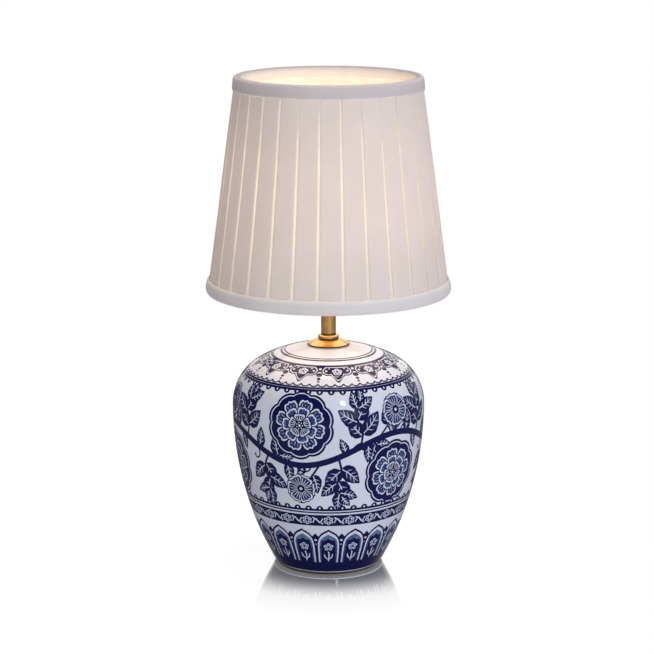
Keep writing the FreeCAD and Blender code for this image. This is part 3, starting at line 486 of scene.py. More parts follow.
@dataclass(frozen=True)
class Cobalt(Finish):
    """Painted cobalt under the same gloss: its tone runs from pale wash to deep navy."""

    wash: Colour = (0.040, 0.078, 0.27)
    navy: Colour = (0.005, 0.007, 0.080)

    def paint(self, graph: Graph, shader: bpy.types.Node) -> None:
        """Reads the tone of each brush stroke and pools the colour unevenly in it.

        Args:
            graph: the material's graph.
            shader: its Principled BSDF.
        """
        place = graph.object_place()
        pools = graph.noise(place, 260.0, 4.0, 0.65)
        pools = graph.total(pools, graph.product(graph.noise(place, 1500.0), 0.35))
        laid = graph.attribute(TONE)
        open_wash = graph.ramp(laid, 0.6, 1.0, 1.0, 0.15)
        tone = graph.total(laid, graph.product(graph.ramp(pools, 0.45, 0.95, -0.12, 0.16), open_wash))
        ramp = graph.add("ShaderNodeValToRGB", {0: tone})
        stops = ramp.color_ramp.elements
        stops[0].position, stops[0].color = 0.08, opaque(self.colour)
        stops[1].position, stops[1].color = 0.88, opaque(self.navy)
        middle = stops.new(0.48)
        middle.color = opaque(self.wash)
        graph.plug(ramp.outputs[0], shader.inputs["Base Color"])
        shader.inputs["Roughness"].default_value = GLAZE_ROUGHNESS
        self.bump(graph, shader, graph.product(graph.noise(place, *PEEL), PEEL_SHARE), PEEL_DEPTH)


@dataclass(frozen=True)
class Metal(Finish):
    """Turned or drawn metal: fine lines round the axis, stray scratches and a little tarnish."""

    tarnish: Colour = (0.3, 0.2, 0.08)
    roughness: float = 0.16
    tarnish_share: float = 0.35
    line_depth: float = 0.0025 * MM
    brushed: float = 0.0
    # Heights, colour and reach of the painted shade lines where parts meet.
    shade_line_heights: tuple[float, ...] = ()
    shade_line_colour: Colour = (0.05, 0.03, 0.014)
    shade_line_reach: Point = (0.35 * MM, 0.75 * MM)

    def paint(self, graph: Graph, shader: bpy.types.Node) -> None:
        """Adds tool lines to the normal, wear to colour and roughness, and rings of painted shade where parts
        meet.

        Args:
            graph: the material's graph.
            shader: its Principled BSDF.
        """
        turning = graph.group(turning_group(), Lines=5200.0, Stray=0.5)
        mottled = graph.group(mottle_group(), Base=self.colour, Tint=self.tarnish, Size=150.0,
                              Amount=self.tarnish_share)
        colour = mottled.outputs["Color"]
        place = graph.object_place()
        height = graph.split(place)[2]
        # Painted shade: a dark ring at each given height, where one part meets the next.
        for level in self.shade_line_heights:
            gone = graph.math("ABSOLUTE", graph.minus(height, level))
            colour = graph.mix(graph.ramp(gone, *self.shade_line_reach, 0.9, 0.0), colour, self.shade_line_colour)
        graph.plug(colour, shader.inputs["Base Color"])
        shader.inputs["Metallic"].default_value = 1.0
        rough = graph.ramp(turning.outputs["Wear"], 0.0, 1.0, self.roughness, self.roughness + 0.16)
        graph.plug(rough, shader.inputs["Roughness"])
        self.bump(graph, shader, turning.outputs["Height"], self.line_depth)
        if self.brushed:
            round_axis = graph.add("ShaderNodeTangent", direction_type="RADIAL", axis="Z")
            graph.plug(round_axis.outputs[0], shader.inputs["Tangent"])
            shader.inputs["Anisotropic"].default_value = self.brushed
            shader.inputs["Anisotropic Rotation"].default_value = 0.25


@dataclass(frozen=True)
class Moulded(Finish):
    """Moulded plastic, rubber, fired ceramic or felt, told apart by grain and shine."""

    second: Colour = (0.5, 0.5, 0.5)
    roughness: float = 0.4
    fine: float = 2600.0
    depth: float = 0.02 * MM
    sheen: float = 0.0

    def paint(self, graph: Graph, shader: bpy.types.Node) -> None:
        """Adds grain, a drift of colour and an uneven shine.

        Args:
            graph: the material's graph.
            shader: its Principled BSDF.
        """
        grain = graph.group(grain_group(), Fine=self.fine, Coarse=self.fine / 8.0)
        mottled = graph.group(mottle_group(), Base=self.colour, Tint=self.second, Size=self.fine / 20.0,
                              Amount=0.5)
        graph.plug(mottled.outputs["Color"], shader.inputs["Base Color"])
        rough = graph.ramp(grain.outputs["Mask"], 0.0, 1.0, self.roughness, min(self.roughness + 0.12, 1.0))
        graph.plug(rough, shader.inputs["Roughness"])
        shader.inputs["Sheen Weight"].default_value = self.sheen
        self.bump(graph, shader, grain.outputs["Height"], self.depth)


@dataclass(frozen=True)
class Glass(Finish):
    """Glass: clear, black, or an opal white that is lit from inside."""

    clear: float = 0.0
    light: float = 0.0
    light_colour: Colour = (1.0, 0.78, 0.52)
    roughness: float = 0.1

    def paint(self, graph: Graph, shader: bpy.types.Node) -> None:
        """Adds faint cloudiness, and the lamp's light where there is any.

        Args:
            graph: the material's graph.
            shader: its Principled BSDF.
        """
        cloudy = tuple(0.94 * part for part in self.colour)
        mottled = graph.group(mottle_group(), Base=self.colour, Tint=cloudy, Size=90.0, Amount=0.6)
        graph.plug(mottled.outputs["Color"], shader.inputs["Base Color"])
        graph.plug(graph.ramp(mottled.outputs["Mask"], 0.0, 1.0, self.roughness, self.roughness + 0.06),
                   shader.inputs["Roughness"])
        shader.inputs["Transmission Weight"].default_value = self.clear
        if self.light:
            shader.inputs["Emission Color"].default_value = opaque(self.light_colour)
            shader.inputs["Emission Strength"].default_value = self.light


@dataclass(frozen=True)
class Cloth(Finish):
    """Woven cloth with the lamp behind it, its light painted on as an emitted glow: the glow attribute says
    how much comes through.
    """

    tint: Colour = (0.7, 0.68, 0.68)
    threads: float = 2400.0
    depth: float = 0.06 * MM
    glow_colour: Colour = (1.0, 0.80, 0.58)
    glow_strength: float = 0.5
    bulb_glow: float = 0.05
    bulb_glow_colour: Colour = (1.0, 0.52, 0.34)
    bulb_glow_height: float = 0.2634
    bulb_glow_reach: float = 0.055

    def paint(self, graph: Graph, shader: bpy.types.Node) -> None:
        """Adds the weave, its colour drift, and the light that comes through it, painted on as an emitted
        glow that is warmest near the bulb's height.

        Args:
            graph: the material's graph.
            shader: its Principled BSDF.
        """
        weave = graph.group(weave_group(), Threads=self.threads, Slub=0.5)
        mottled = graph.group(mottle_group(), Base=self.colour, Tint=self.tint, Size=30.0, Amount=0.5)
        threads = graph.ramp(weave.outputs["Shade"], 0.0, 1.0, 0.0, 0.3)
        graph.plug(graph.mix(threads, mottled.outputs["Color"], self.tint), shader.inputs["Base Color"])
        shader.inputs["Roughness"].default_value = 0.85
        shader.inputs["Sheen Weight"].default_value = 0.12
        shader.inputs["Specular IOR Level"].default_value = 0.2
        self.bump(graph, shader, weave.outputs["Height"], self.depth)
        # Painted light: the cloth emits a glow where the lamp's light would shine through it, with a warm
        # painted glow near the bulb's height.
        place = graph.object_place()
        height = graph.split(place)[2]
        away = graph.product(graph.minus(height, self.bulb_glow_height), 1.0 / self.bulb_glow_reach)
        near_bulb = graph.math("EXPONENT", graph.product(away, away, -1.0))
        bulb_glow = graph.mix(near_bulb, BLACK, tuple(self.bulb_glow * part for part in self.bulb_glow_colour))
        lit = graph.total(graph.product(near_bulb, 0.55), 0.55)
        uneven = graph.ramp(graph.noise(place, 90.0, 3.0), 0.3, 0.7, 0.8, 1.1)
        share = graph.product(graph.attribute(GLOW), lit, uneven)
        light = graph.mix(share, bulb_glow, self.glow_colour)
        graph.plug(light, shader.inputs["Emission Color"])
        shader.inputs["Emission Strength"].default_value = self.glow_strength


PORCELAIN = Glaze("printed_porcelain", (0.735, 0.81, 0.985))
COBALT = Cobalt("cobalt_print", (0.24, 0.36, 0.62))
# Brass with three painted shade lines where the cap, the collar and the tube meet the jar and each other.
BRASS = Metal("brass", (0.95, 0.67, 0.26), (0.80, 0.46, 0.13), 0.30, 0.4, brushed=0.9,
              shade_line_heights=(0.15225, 0.1561, 0.1592))
ZINC_STEEL = Metal("zinc_steel", (0.62, 0.64, 0.66), (0.46, 0.48, 0.52), 0.28, 0.5)
CAP_METAL = Metal("cap_metal", (0.72, 0.73, 0.74), (0.55, 0.56, 0.58), 0.2, 0.4)
CONTACT_METAL = Metal("contact_metal", (0.80, 0.58, 0.34), (0.6, 0.4, 0.22), 0.25, 0.5)
FRAME_WIRE = Moulded("frame_wire", (0.78, 0.77, 0.74), (0.66, 0.64, 0.60), 0.32, 1800.0, 0.02 * MM)
HOLDER_PLASTIC = Moulded("holder_plastic", (0.78, 0.77, 0.73), (0.70, 0.69, 0.65), 0.36, 2400.0, 0.012 * MM)
BUSH_PLASTIC = Moulded("bush_plastic", (0.72, 0.71, 0.68), (0.60, 0.59, 0.56), 0.42, 2400.0, 0.012 * MM)
INLET_RUBBER = Moulded("inlet_rubber", (0.62, 0.62, 0.62), (0.52, 0.52, 0.52), 0.55, 2000.0, 0.03 * MM)
SEAL_RUBBER = Moulded("seal_rubber", (0.03, 0.03, 0.032), (0.06, 0.06, 0.06), 0.6, 2000.0, 0.03 * MM)
CORE_CERAMIC = Moulded("core_ceramic", (0.78, 0.75, 0.68), (0.66, 0.62, 0.55), 0.5, 1600.0, 0.05 * MM)
FELT = Moulded("felt", (0.035, 0.032, 0.032), (0.09, 0.085, 0.08), 0.9, 1400.0, 0.25 * MM, 0.5)
BLACK_GLASS = Glass("black_glass", (0.01, 0.01, 0.012), 0.0, 0.0)
OPAL_GLASS = Glass("opal_glass", (0.9, 0.88, 0.84), 0.0, 4.6, (1.0, 0.84, 0.44))
CLEAR_GLASS = Glass("clear_glass", (0.95, 0.97, 0.97), 1.0, 0.0, roughness=0.02)
PLEATED_CLOTH = Cloth("pleated_cloth", (0.84, 0.785, 0.77), (0.76, 0.71, 0.70), glow_colour=(1.0, 0.91, 0.61),
                      glow_strength=0.57, bulb_glow=0.2, bulb_glow_colour=(1.0, 0.59, 0.36))
BINDING_CLOTH = Cloth("binding_cloth", (0.67, 0.635, 0.675), (0.61, 0.575, 0.61),
                      glow_colour=(1.0, 0.88, 0.76), bulb_glow=0.0)
# The hem's cloth is the binding's cloth made lighter and a little bluer: painted light on the hem.
LIT_HEM_CLOTH = Cloth("lit_hem_cloth", (0.79, 0.79, 0.84), (0.73, 0.72, 0.77), bulb_glow=0.0)
LINING_CLOTH = Cloth("lining", (0.60, 0.56, 0.49), (0.54, 0.50, 0.44), glow_colour=(1.0, 0.76, 0.70),
                     glow_strength=1.89, bulb_glow=0.0)

NODE_FINISHES: dict[Finish, tuple[str, ...]] = {
    PORCELAIN: ("jar_body",),
    FELT: ("base_felt",),
    INLET_RUBBER: ("cord_inlet",),
    BRASS: ("stem_tube", "vase_cap", "cap_collar", "holder_cap"),
    SEAL_RUBBER: ("neck_gasket",),
    ZINC_STEEL: ("clamp_washer", "spring_washer", "stem_nut", "locking_screw"),
    BUSH_PLASTIC: ("stem_end_bush",),
    HOLDER_PLASTIC: ("holder_skirt", "shade_ring"),
    CORE_CERAMIC: ("holder_core",),
    CONTACT_METAL: ("terminal_screws", "screw_shell", "centre_contact"),
    CAP_METAL: ("bulb_contact", "bulb_cap", "bulb_filament"),
    BLACK_GLASS: ("bulb_insulator",),
    OPAL_GLASS: ("bulb_glass",),
    CLEAR_GLASS: ("bulb_stem",),
    FRAME_WIRE: ("fitter_ring", "fitter_arms", "top_wire_ring", "foot_wire_ring", "frame_ribs"),
}


def plain_mesh(piece: bpy.types.Object) -> bpy.types.Object:
    """Turns a piece with modifiers into a plain mesh.

    Args:
        piece: the object, with its Geometry Nodes or other modifiers set.

    Returns:
        The same object, its modifiers gone and their result in its mesh.
    """
    bpy.context.view_layer.update()
    graph = bpy.context.evaluated_depsgraph_get()
    evaluated = piece.evaluated_get(graph)
    mesh = bpy.data.meshes.new_from_object(evaluated, preserve_all_data_layers=True, depsgraph=graph)
    mesh.name = piece.name
    piece.modifiers.clear()
    piece.data = mesh
    return piece


def new_piece(name: str, points: Sequence = (), faces: Sequence = ()) -> bpy.types.Object:
    """Makes a mesh object at the origin, with its place in its points.

    Args:
        name: the object's name.
        points: its points.
        faces: for each face the numbers of its points.

    Returns:
        The object, linked into the scene.
    """
    mesh = bpy.data.meshes.new(name)
    mesh.from_pydata(points, [], faces)
    piece = bpy.data.objects.new(name, mesh)
    bpy.context.scene.collection.objects.link(piece)
    return piece


def place(piece: bpy.types.Object, body: Body, slot: str, *nodes: str) -> bpy.types.Object:
    """Puts a finished piece on its body.

    Args:
        piece: the finished piece.
        body: what it moves with.
        slot: the record's material slot for the piece; not used.
        nodes: the CAD nodes that it stands for.

    Returns:
        The piece.
    """
    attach(piece, body.value)
    if nodes:
        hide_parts(*nodes)
    log.info("%s: %d faces, rides on %s", piece.name, len(piece.data.polygons), body.value)
    return piece


def smooth_line(points: Sequence[Sequence[float]], steps: int, closed: bool = False) -> np.ndarray:
    """Runs a Catmull-Rom line through points.

    Args:
        points: the points to pass through, of any dimension.
        steps: how many points to make of each span.
        closed: whether the last point joins the first.

    Returns:
        The line's points as an array.
    """
    given = np.asarray(points, float)
    if closed:
        padded = np.vstack([given[-1:], given, given[:2]])
    else:
        padded = np.vstack([2 * given[0] - given[1], given, 2 * given[-1] - given[-2]])
    share = np.linspace(0.0, 1.0, steps, endpoint=False)[:, None]
    spans = []
    for index in range(len(padded) - 3):
        before, start, end, after = padded[index:index + 4]
        squared = (2 * before - 5 * start + 4 * end - after) * share ** 2
        cubed = (3 * start - before - 3 * end + after) * share ** 3
        spans.append(0.5 * (2 * start + (end - before) * share + squared + cubed))
    line = np.vstack(spans)
    return line if closed else np.vstack([line, given[-1:]])


def wall_profile(path: np.ndarray, thickness: float) -> np.ndarray:
    """Gives a line in the (radius, height) plane a wall with rounded ends.

    Args:
        path: the line, going up on the outside and down on the inside.
        thickness: the wall's thickness.

    Returns:
        The closed outline, anticlockwise.
    """
    along = np.gradient(path, axis=0)
    along /= np.linalg.norm(along, axis=1)[:, None]
    right = np.column_stack([along[:, 1], -along[:, 0]])
    half = thickness / 2
    first = path[0] - along[0] * half * 0.8
    last = path[-1] + along[-1] * half * 0.8
    return np.vstack([path + right * half, last[None], (path - right * half)[::-1], first[None]])


def ring_sheet(name: str, profile: np.ndarray, columns: int,
               shift: Callable[[np.ndarray, np.ndarray], np.ndarray]) -> bpy.types.Object:
    """Sweeps a closed outline round the lamp's axis.

    Args:
        name: the piece's name.
        profile: the outline in the (radius, height) plane, anticlockwise.
        columns: how many steps go round.
        shift: gives the outward and upward shift of each point from its angle and its place in the outline.

    Returns:
        The piece, with the cloth's own UV map.
    """
    count = len(profile)
    turn = np.linspace(0.0, math.tau, columns, endpoint=False)
    angle, index = np.meshgrid(turn, np.arange(count), indexing="ij")
    moved = profile[index] + shift(angle, index)
    points = np.stack([moved[..., 0] * np.sin(angle), -moved[..., 0] * np.cos(angle), moved[..., 1]], -1)
    faces = [(i * count + k, (i + 1) % columns * count + k, (i + 1) % columns * count + (k + 1) % count,
              i * count + (k + 1) % count) for i in range(columns) for k in range(count)]
    piece = new_piece(name, points.reshape(-1, 3).tolist(), faces)
    sides = np.linalg.norm(np.diff(profile, axis=0, append=profile[:1]), axis=1)
    length = np.concatenate([[0.0], np.cumsum(sides)])
    middle = float(profile[:, 0].mean())
    across = [[i, i + 1, i + 1, i] for i in range(columns) for _ in range(count)]
    along = [[k, k, k + 1, k + 1] for _ in range(columns) for k in range(count)]
    flat = np.stack([np.array(across) * math.tau / columns * middle, length[np.array(along)]], -1)
    layer = piece.data.uv_layers.new(name=CLOTH_UV)
    layer.data.foreach_set("uv", flat.astype(np.float32).ravel())
    piece.data.shade_smooth()
    return piece


def set_values(mesh: bpy.types.Mesh, name: str, values: np.ndarray) -> None:
    """Stores a number for each point of a mesh.

    Args:
        mesh: the mesh.
        name: the attribute's name.
        values: one number for each point.
    """
    attribute = mesh.attributes.get(name) or mesh.attributes.new(name, "FLOAT", "POINT")
    attribute.data.foreach_set("value", values.astype(np.float32).ravel())


@dataclass(frozen=True)
class Softbox:
    """One soft light: where it hangs, what it faces, its size, and whether glossy surfaces show it."""

    name: str
    where: tuple[float, float, float]
    aim: tuple[float, float, float]
    width: float
    height: float
    watts: float
    colour: Colour
    mirrored: bool

    def build(self) -> None:
        """Hangs the light."""
        data = bpy.data.lights.new(self.name, "AREA")
        data.shape = "RECTANGLE"
        data.size, data.size_y = self.width, self.height
        data.energy, data.color = self.watts, self.colour
        lamp = bpy.data.objects.new(self.name, data)
        lamp.location = self.where
        lamp.rotation_euler = (Vector(self.aim) - Vector(self.where)).to_track_quat("-Z", "Y").to_euler()
        lamp.visible_glossy = self.mirrored
        lamp.visible_camera = False
        bpy.context.scene.collection.objects.link(lamp)


@dataclass
class Studio:
    """The camera where the photographer's stood, the pale floor and the soft light."""

    lens: float = 122.64
    tilt: float = math.radians(77.4)
    camera_place: tuple[float, float, float] = (-0.001, -1.4677, 0.4915)
    floor_size: float = 14.0
    floor_colour: Colour = (0.85, 0.85, 0.86)
    # The darker grey that glossy rays see on the floor: painted shade in the reflections.
    floor_mirrored_colour: Colour = (0.24, 0.24, 0.25)
    foot_radius: float = 0.0362
    polish_start: float = 0.045
    polish_end: float = 0.088
    mirror_reach: float = 0.087
    behind_colour: Colour = (1.03, 0.92, 0.88)
    right_colour: Colour = (1.5, 1.58, 1.8)
    right_heading: Point = (0.77, -0.64)
    softboxes: tuple[Softbox, ...] = (
        Softbox("front", (0.1, -1.6, 0.75), (0.0, 0.0, 0.18), 0.9, 0.9, 9.9, (1.0, 0.955, 0.89), False),
        Softbox("window", (0.373, -1.109, 0.951), (0.0, 0.0, 0.11), 0.12, 0.28, 1.3, WHITE, True),
    )

    def build(self) -> None:
        """Makes the camera, the floor, the lights and the sky in order."""
        self.camera()
        self.floor()
        for softbox in self.softboxes:
            softbox.build()
        self.sky()

    def camera(self) -> None:
        """Places the camera of the photograph."""
        data = bpy.data.cameras.new("camera")
        data.lens = self.lens
        data.sensor_width = 36.0
        data.sensor_fit = "HORIZONTAL"
        data.clip_end = 50.0
        camera = bpy.data.objects.new("camera", data)
        camera.location = self.camera_place
        camera.rotation_euler = (self.tilt, 0.0, 0.0)
        bpy.context.scene.collection.objects.link(camera)
        bpy.context.scene.camera = camera
        bpy.context.scene.view_settings.view_transform = "Standard"

    def floor(self) -> None:
        """Makes the pale floor, polished near the foot so that the jar mirrors in it."""
        half = self.floor_size / 2
        floor = new_piece("floor", [(-half, -half, 0), (half, -half, 0), (half, half, 0), (-half, half, 0)],
                          [(0, 1, 2, 3)])
        material = bpy.data.materials.new("pale_floor")
        material.use_nodes = True
        material.node_tree.nodes.clear()
        graph = Graph(material.node_tree)
        away = graph.from_axis(graph.split(graph.object_place()))
        mirror_end = self.foot_radius + self.mirror_reach
        near = graph.total(graph.ramp(away, self.polish_start, self.polish_end, 0.66, 0.0),
                           graph.ramp(away, self.polish_start, mirror_end, 0.20, 0.0, smooth=False))
        low_view = graph.ramp(graph.add("ShaderNodeLayerWeight", {"Blend": 0.5}).outputs["Facing"], 0.2, 0.65)
        rough = graph.ramp(away, self.foot_radius, mirror_end, 0.0, 0.06)
        path = graph.add("ShaderNodeLightPath").outputs
        # Painted shade in reflections: glossy rays see the floor darker than diffuse rays do.
        matt_colour = graph.mix(path["Is Glossy Ray"], self.floor_colour, self.floor_mirrored_colour)
        matt = graph.add("ShaderNodeBsdfDiffuse", {"Color": matt_colour})
        pale = graph.add("ShaderNodeEmission", {"Color": opaque(WHITE), "Strength": 1.06})
        mirror = graph.add("ShaderNodeBsdfGlossy", {"Color": opaque(WHITE), "Roughness": rough})
        ground = graph.add("ShaderNodeMixShader", {
            0: graph.product(path["Is Camera Ray"], 0.92), 1: matt.outputs[0], 2: pale.outputs[0]})
        surface = graph.add("ShaderNodeMixShader", {
            0: graph.product(near, low_view), 1: ground.outputs[0], 2: mirror.outputs[0]})
        graph.add("ShaderNodeOutputMaterial", {"Surface": surface.outputs[0]})
        floor.data.materials.append(material)

    def sky(self) -> None:
        """Makes the surroundings: white to the camera, brightest behind and to the right of the lamp."""
        world = bpy.data.worlds.new("studio")
        world.use_nodes = True
        world.node_tree.nodes.clear()
        graph = Graph(world.node_tree)
        x, y, z = graph.split(graph.add("ShaderNodeTexCoord").outputs["Generated"])
        facing = graph.total(graph.product(x, self.right_heading[0]), graph.product(y, self.right_heading[1]))
        right = graph.product(graph.ramp(facing, 0.72, 0.93), graph.ramp(z, -0.1, 0.1))
        soft = graph.mix(graph.ramp(y, -0.6, 0.5, 0.0, 0.75), BLACK, self.behind_colour)
        soft = graph.mix(graph.product(right, 0.8), soft, self.right_colour, "ADD")
        back = graph.product(graph.ramp(y, 0.0, 1.0, 0.09, 0.6), graph.ramp(x, -0.9, 0.9, 0.45, 1.0))
        far = graph.ramp(y, 0.86, 0.93, 0.0, 0.55)
        across = graph.math("DIVIDE", x, graph.math("MAXIMUM", graph.product(y, -1.0), 0.05))
        low = graph.product(graph.ramp(across, 0.05, 0.24), graph.ramp(across, 0.5, 0.8, 1.0, 0.0),
                            graph.ramp(z, -0.02, 0.05), graph.ramp(z, 0.3, 0.5, 1.0, 0.0))
        mirrored = graph.total(back, graph.product(right, 0.12), far, graph.product(low, 2.2))
        path = graph.add("ShaderNodeLightPath").outputs
        seen = graph.mix(path["Is Glossy Ray"], soft, graph.mix(mirrored, BLACK, WHITE))
        background = graph.add("ShaderNodeBackground", {
            "Color": graph.mix(path["Is Camera Ray"], seen, WHITE), "Strength": 1.0})
        graph.add("ShaderNodeOutputWorld", {"Surface": background.outputs[0]})
        bpy.context.scene.world = world


@dataclass
class PleatedCover:
    """The box-pleated outer cloth: thirty flats, with a narrow single layer between each two."""

    pleats: int = 30
    steps: int = 32
    rows: int = 44
    foot_height: float = 0.1904
    top_height: float = 0.3314
    foot_radius: float = 80.55 * MM
    top_radius: float = 61.75 * MM
    gap_share: float = 0.052
    under_share: float = 0.36
    fold_share: float = 0.022
    depth: float = 1.02 * MM
    wander: float = 0.022
    phase: float = math.radians(7.0)
    billow: float = 0.5 * MM
    merge: float = 0.01 * MM
    cloth_thickness: float = 0.2 * MM
    fullness: float = 2.2
    thread_fullness: float = 2.4
    seed: int = 11
    starts: tuple[float, ...] = (
        1.12, 0.89, 0.80, 0.98, 0.86, 0.50, 0.70, 1.00, 0.90, 1.15, 0.85, 1.10, 0.95, 1.15, 0.80,
        1.00, 0.90, 1.15, 1.05, 0.88, 1.15, 0.95, 1.10, 0.90, 1.20, 1.20, 1.20, 1.10, 0.87, 0.93)
    closing_length: float = 0.14
    closed_width: float = 0.04
    foot_width: float = 1.08
    top_width: float = 0.86
    # Painted glow through the gaps: its base strength, its rise towards one side of the shade, and that
    # side's angle.
    light: float = 0.38
    light_sweep: float = 0.20
    light_side: float = math.radians(294.0)

    def knots(self) -> dict[str, list[float]]:
        """Gives the fold's shape from the middle of a gap to the middle of a flat.

        Returns:
            For each step its share of the gap, the underlap, the flat's half, the fold's
            rounding and the depth, and how much light comes through.
        """
        flat = [0.0, 0.2, 0.45, 0.72, 1.0]
        rest = [1.0 - part for part in flat]
        return {
            "gap": [0, 1, 0, 0, 0, 0, 0.5, 1, 1, 1, 1] + rest,
            "under": [0, 0, 1, 1, 1, 1, 0.5, 0, 0, 0, 0] + [0.0] * 5,
            "half": [0.0] * 11 + flat,
            "fold": [0, 0, -1.6, -0.5, 0, -0.5, 0, 1.4, 0.35, 0, 0.35] + [1.4 * part for part in rest],
            "depth": [1, 1, 1, 0.93, 0.75, 0.57, 0.5, 0.48, 0.4, 0.24, 0.07] + [0.0] * 5,
            "glow": [1, 1, 0.7, 0.3, 0, 0, 0, 0.1, 0.3, 0.45, 0.25, 0.06] + [0.0] * 4,
        }

    def sizes(self) -> dict[str, float]:
        """Names the sizes that the node tree takes.

        Returns:
            Each size by the name of its input.
        """
        return {"Pleats": self.pleats, "Steps": self.steps, "Rows": self.rows, "Seed": self.seed,
                "Foot Height": self.foot_height, "Top Height": self.top_height,
                "Foot Radius": self.foot_radius, "Top Radius": self.top_radius, "Gap": self.gap_share,
                "Under": self.under_share, "Fold": self.fold_share, "Depth": self.depth,
                "Wander": self.wander, "Phase": self.phase}

    def tree(self) -> bpy.types.NodeTree:
        """Builds the node tree that folds a grid into the pleats and wraps it round the shade.

        Returns:
            The tree, with the cover's sizes and its material as named inputs.
        """
        graph, given, result = size_tree("pleats", self.sizes())
        size = given.outputs
        columns = graph.total(graph.product(size["Pleats"], size["Steps"]), 1)
        grid = graph.add("GeometryNodeMeshGrid", {
            "Size X": size["Pleats"], "Size Y": 1.0, "Vertices X": columns,
            "Vertices Y": graph.total(size["Rows"], 1)})
        spot = graph.split(graph.add("GeometryNodeInputPosition").outputs[0])
        turn = graph.total(spot[0], graph.product(size["Pleats"], 0.5))
        rise = graph.total(spot[1], 0.5)
        gap_number = graph.math("ROUND", turn)
        lean = graph.minus(turn, gap_number)
        side = graph.math("SIGN", lean)
        reach = graph.product(graph.math("ABSOLUTE", lean), 2.0)
        curve = {name: self.curve(graph, reach, values) for name, values in self.knots().items()}
        own_number = graph.math("FLOORED_MODULO", gap_number, size["Pleats"])
        own = graph.total(own_number, graph.product(size["Seed"], 37.0))
        edge = graph.vector(graph.product(own, 5.31), graph.product(side, 2.7), graph.product(rise, 7.0))
        line = graph.vector(graph.product(own, 3.77), 9.0, graph.product(rise, 2.2))
        ragged = graph.minus(graph.noise(edge, 1.0, 3.0, 0.65), 0.5)
        bowed = graph.minus(graph.noise(line, 1.0, 1.0), 0.5)
        chance = graph.add("FunctionNodeRandomValue", {"ID": own_number, "Seed": size["Seed"]},
                           data_type="FLOAT").outputs["Value"]
        place = graph.math("DIVIDE", own_number, graph.minus(size["Pleats"], 1.0))
        start = graph.total(self.curve(graph, place, self.starts), graph.product(chance, 0.02))
        closing = graph.ramp(rise, graph.minus(start, self.closing_length), start, 1.0, self.closed_width)
        widening = graph.ramp(rise, 0.0, 1.0, self.foot_width, self.top_width, smooth=False)
        gap = graph.product(graph.total(size["Gap"], graph.product(ragged, size["Wander"], 1.6)), closing,
                            widening)
        share = graph.total(graph.product(curve["gap"], graph.math("MAXIMUM", gap, 0.004)),
                            graph.product(curve["under"], size["Under"]), graph.product(curve["half"], 0.5),
                            graph.product(curve["fold"], size["Fold"]))
        drift = graph.product(bowed, size["Wander"], 1.5, graph.minus(1.0, reach))
        angle = graph.total(graph.product(graph.total(gap_number, graph.product(share, side), drift),
                                          graph.math("DIVIDE", math.tau, size["Pleats"])), size["Phase"])
        lift = graph.product(graph.minus(graph.noise(edge, 0.35, 1.0), 0.35), 0.9, curve["gap"],
                             graph.ramp(curve["depth"], 0.5, 0.0, 0.0, 1.0))
        pressed = graph.ramp(closing, 0.0, 0.6, 0.45, 1.0)
        sunk = graph.product(size["Depth"], graph.minus(curve["depth"], lift), pressed)
        wall = graph.blend(size["Foot Radius"], size["Top Radius"], rise)
        soft = graph.vector(graph.math("SINE", angle), graph.math("COSINE", angle), graph.product(rise, 1.6))
        billow = graph.product(graph.minus(graph.noise(soft, 3.0, 2.0), 0.5), self.billow)
        radius = graph.total(graph.minus(wall, sunk), billow)
        height = graph.blend(size["Foot Height"], size["Top Height"], rise)
        pitch = graph.product(size["Foot Radius"], math.tau * self.thread_fullness)
        flat = graph.vector(graph.product(turn, graph.math("DIVIDE", pitch, size["Pleats"])), height)
        threaded = graph.add("GeometryNodeStoreNamedAttribute", {
            "Geometry": grid.outputs["Mesh"], "Name": CLOTH_UV, "Value": flat},
            data_type="FLOAT2", domain="CORNER")
        # Painted light: each gap's glow, stronger towards one side, with a little random spread.
        turned = graph.minus(graph.product(place, math.tau), self.light_side)
        sweep = graph.product(graph.math("COSINE", turned), self.light_sweep)
        own_light = graph.product(graph.total(self.light, sweep),
                                  graph.ramp(chance, 0.0, 1.0, 0.88, 1.12, smooth=False))
        glowing = graph.add("GeometryNodeStoreNamedAttribute", {
            "Geometry": threaded.outputs[0], "Name": GLOW, "Value": graph.product(curve["glow"], own_light)},
            data_type="FLOAT", domain="POINT")
        folded = graph.add("GeometryNodeSetPosition", {
            "Geometry": glowing.outputs[0], "Position": graph.around(radius, angle, height)})
        closed = graph.add("GeometryNodeMergeByDistance", {
            "Geometry": folded.outputs[0], "Distance": self.merge})
        smooth = graph.add("GeometryNodeSetShadeSmooth", {"Geometry": closed.outputs[0]})
        return end_tree(graph, smooth.outputs[0], size["Material"], result)

    def curve(self, graph: Graph, value: object, heights: Sequence[float]) -> bpy.types.NodeSocket:
        """Adds a curve through evenly spaced heights.

        Args:
            graph: the tree's graph.
            value: what the curve is read at, from 0 to 1.
            heights: the curve's heights.

        Returns:
            The curve's output.
        """
        node = graph.add("ShaderNodeFloatCurve", {"Factor": 1.0, "Value": value})
        line = node.mapping.curves[0]
        node.mapping.use_clip = False
        last = len(heights) - 1
        for _ in range(last - 1):
            line.points.new(0.5, 0.5)
        for index, height in enumerate(heights):
            line.points[index].location = (index / last, height)
            line.points[index].handle_type = "VECTOR"
        node.mapping.update()
        return node.outputs[0]

    def build(self) -> bpy.types.Object:
        """Makes the cover and hangs it between the two wire rings.

        Returns:
            The cover as one closed piece.
        """
        piece = new_piece("pleated_cloth")
        run_tree(piece, self.tree(), {**self.sizes(), "Material": PLEATED_CLOTH.material()})
        wall = piece.modifiers.new("wall", "SOLIDIFY")
        wall.thickness = self.cloth_thickness
        wall.offset = 0.0
        plain_mesh(piece)
        place(piece, Body.SHADE, "pleated_cloth", "pleated_cover")
        return piece


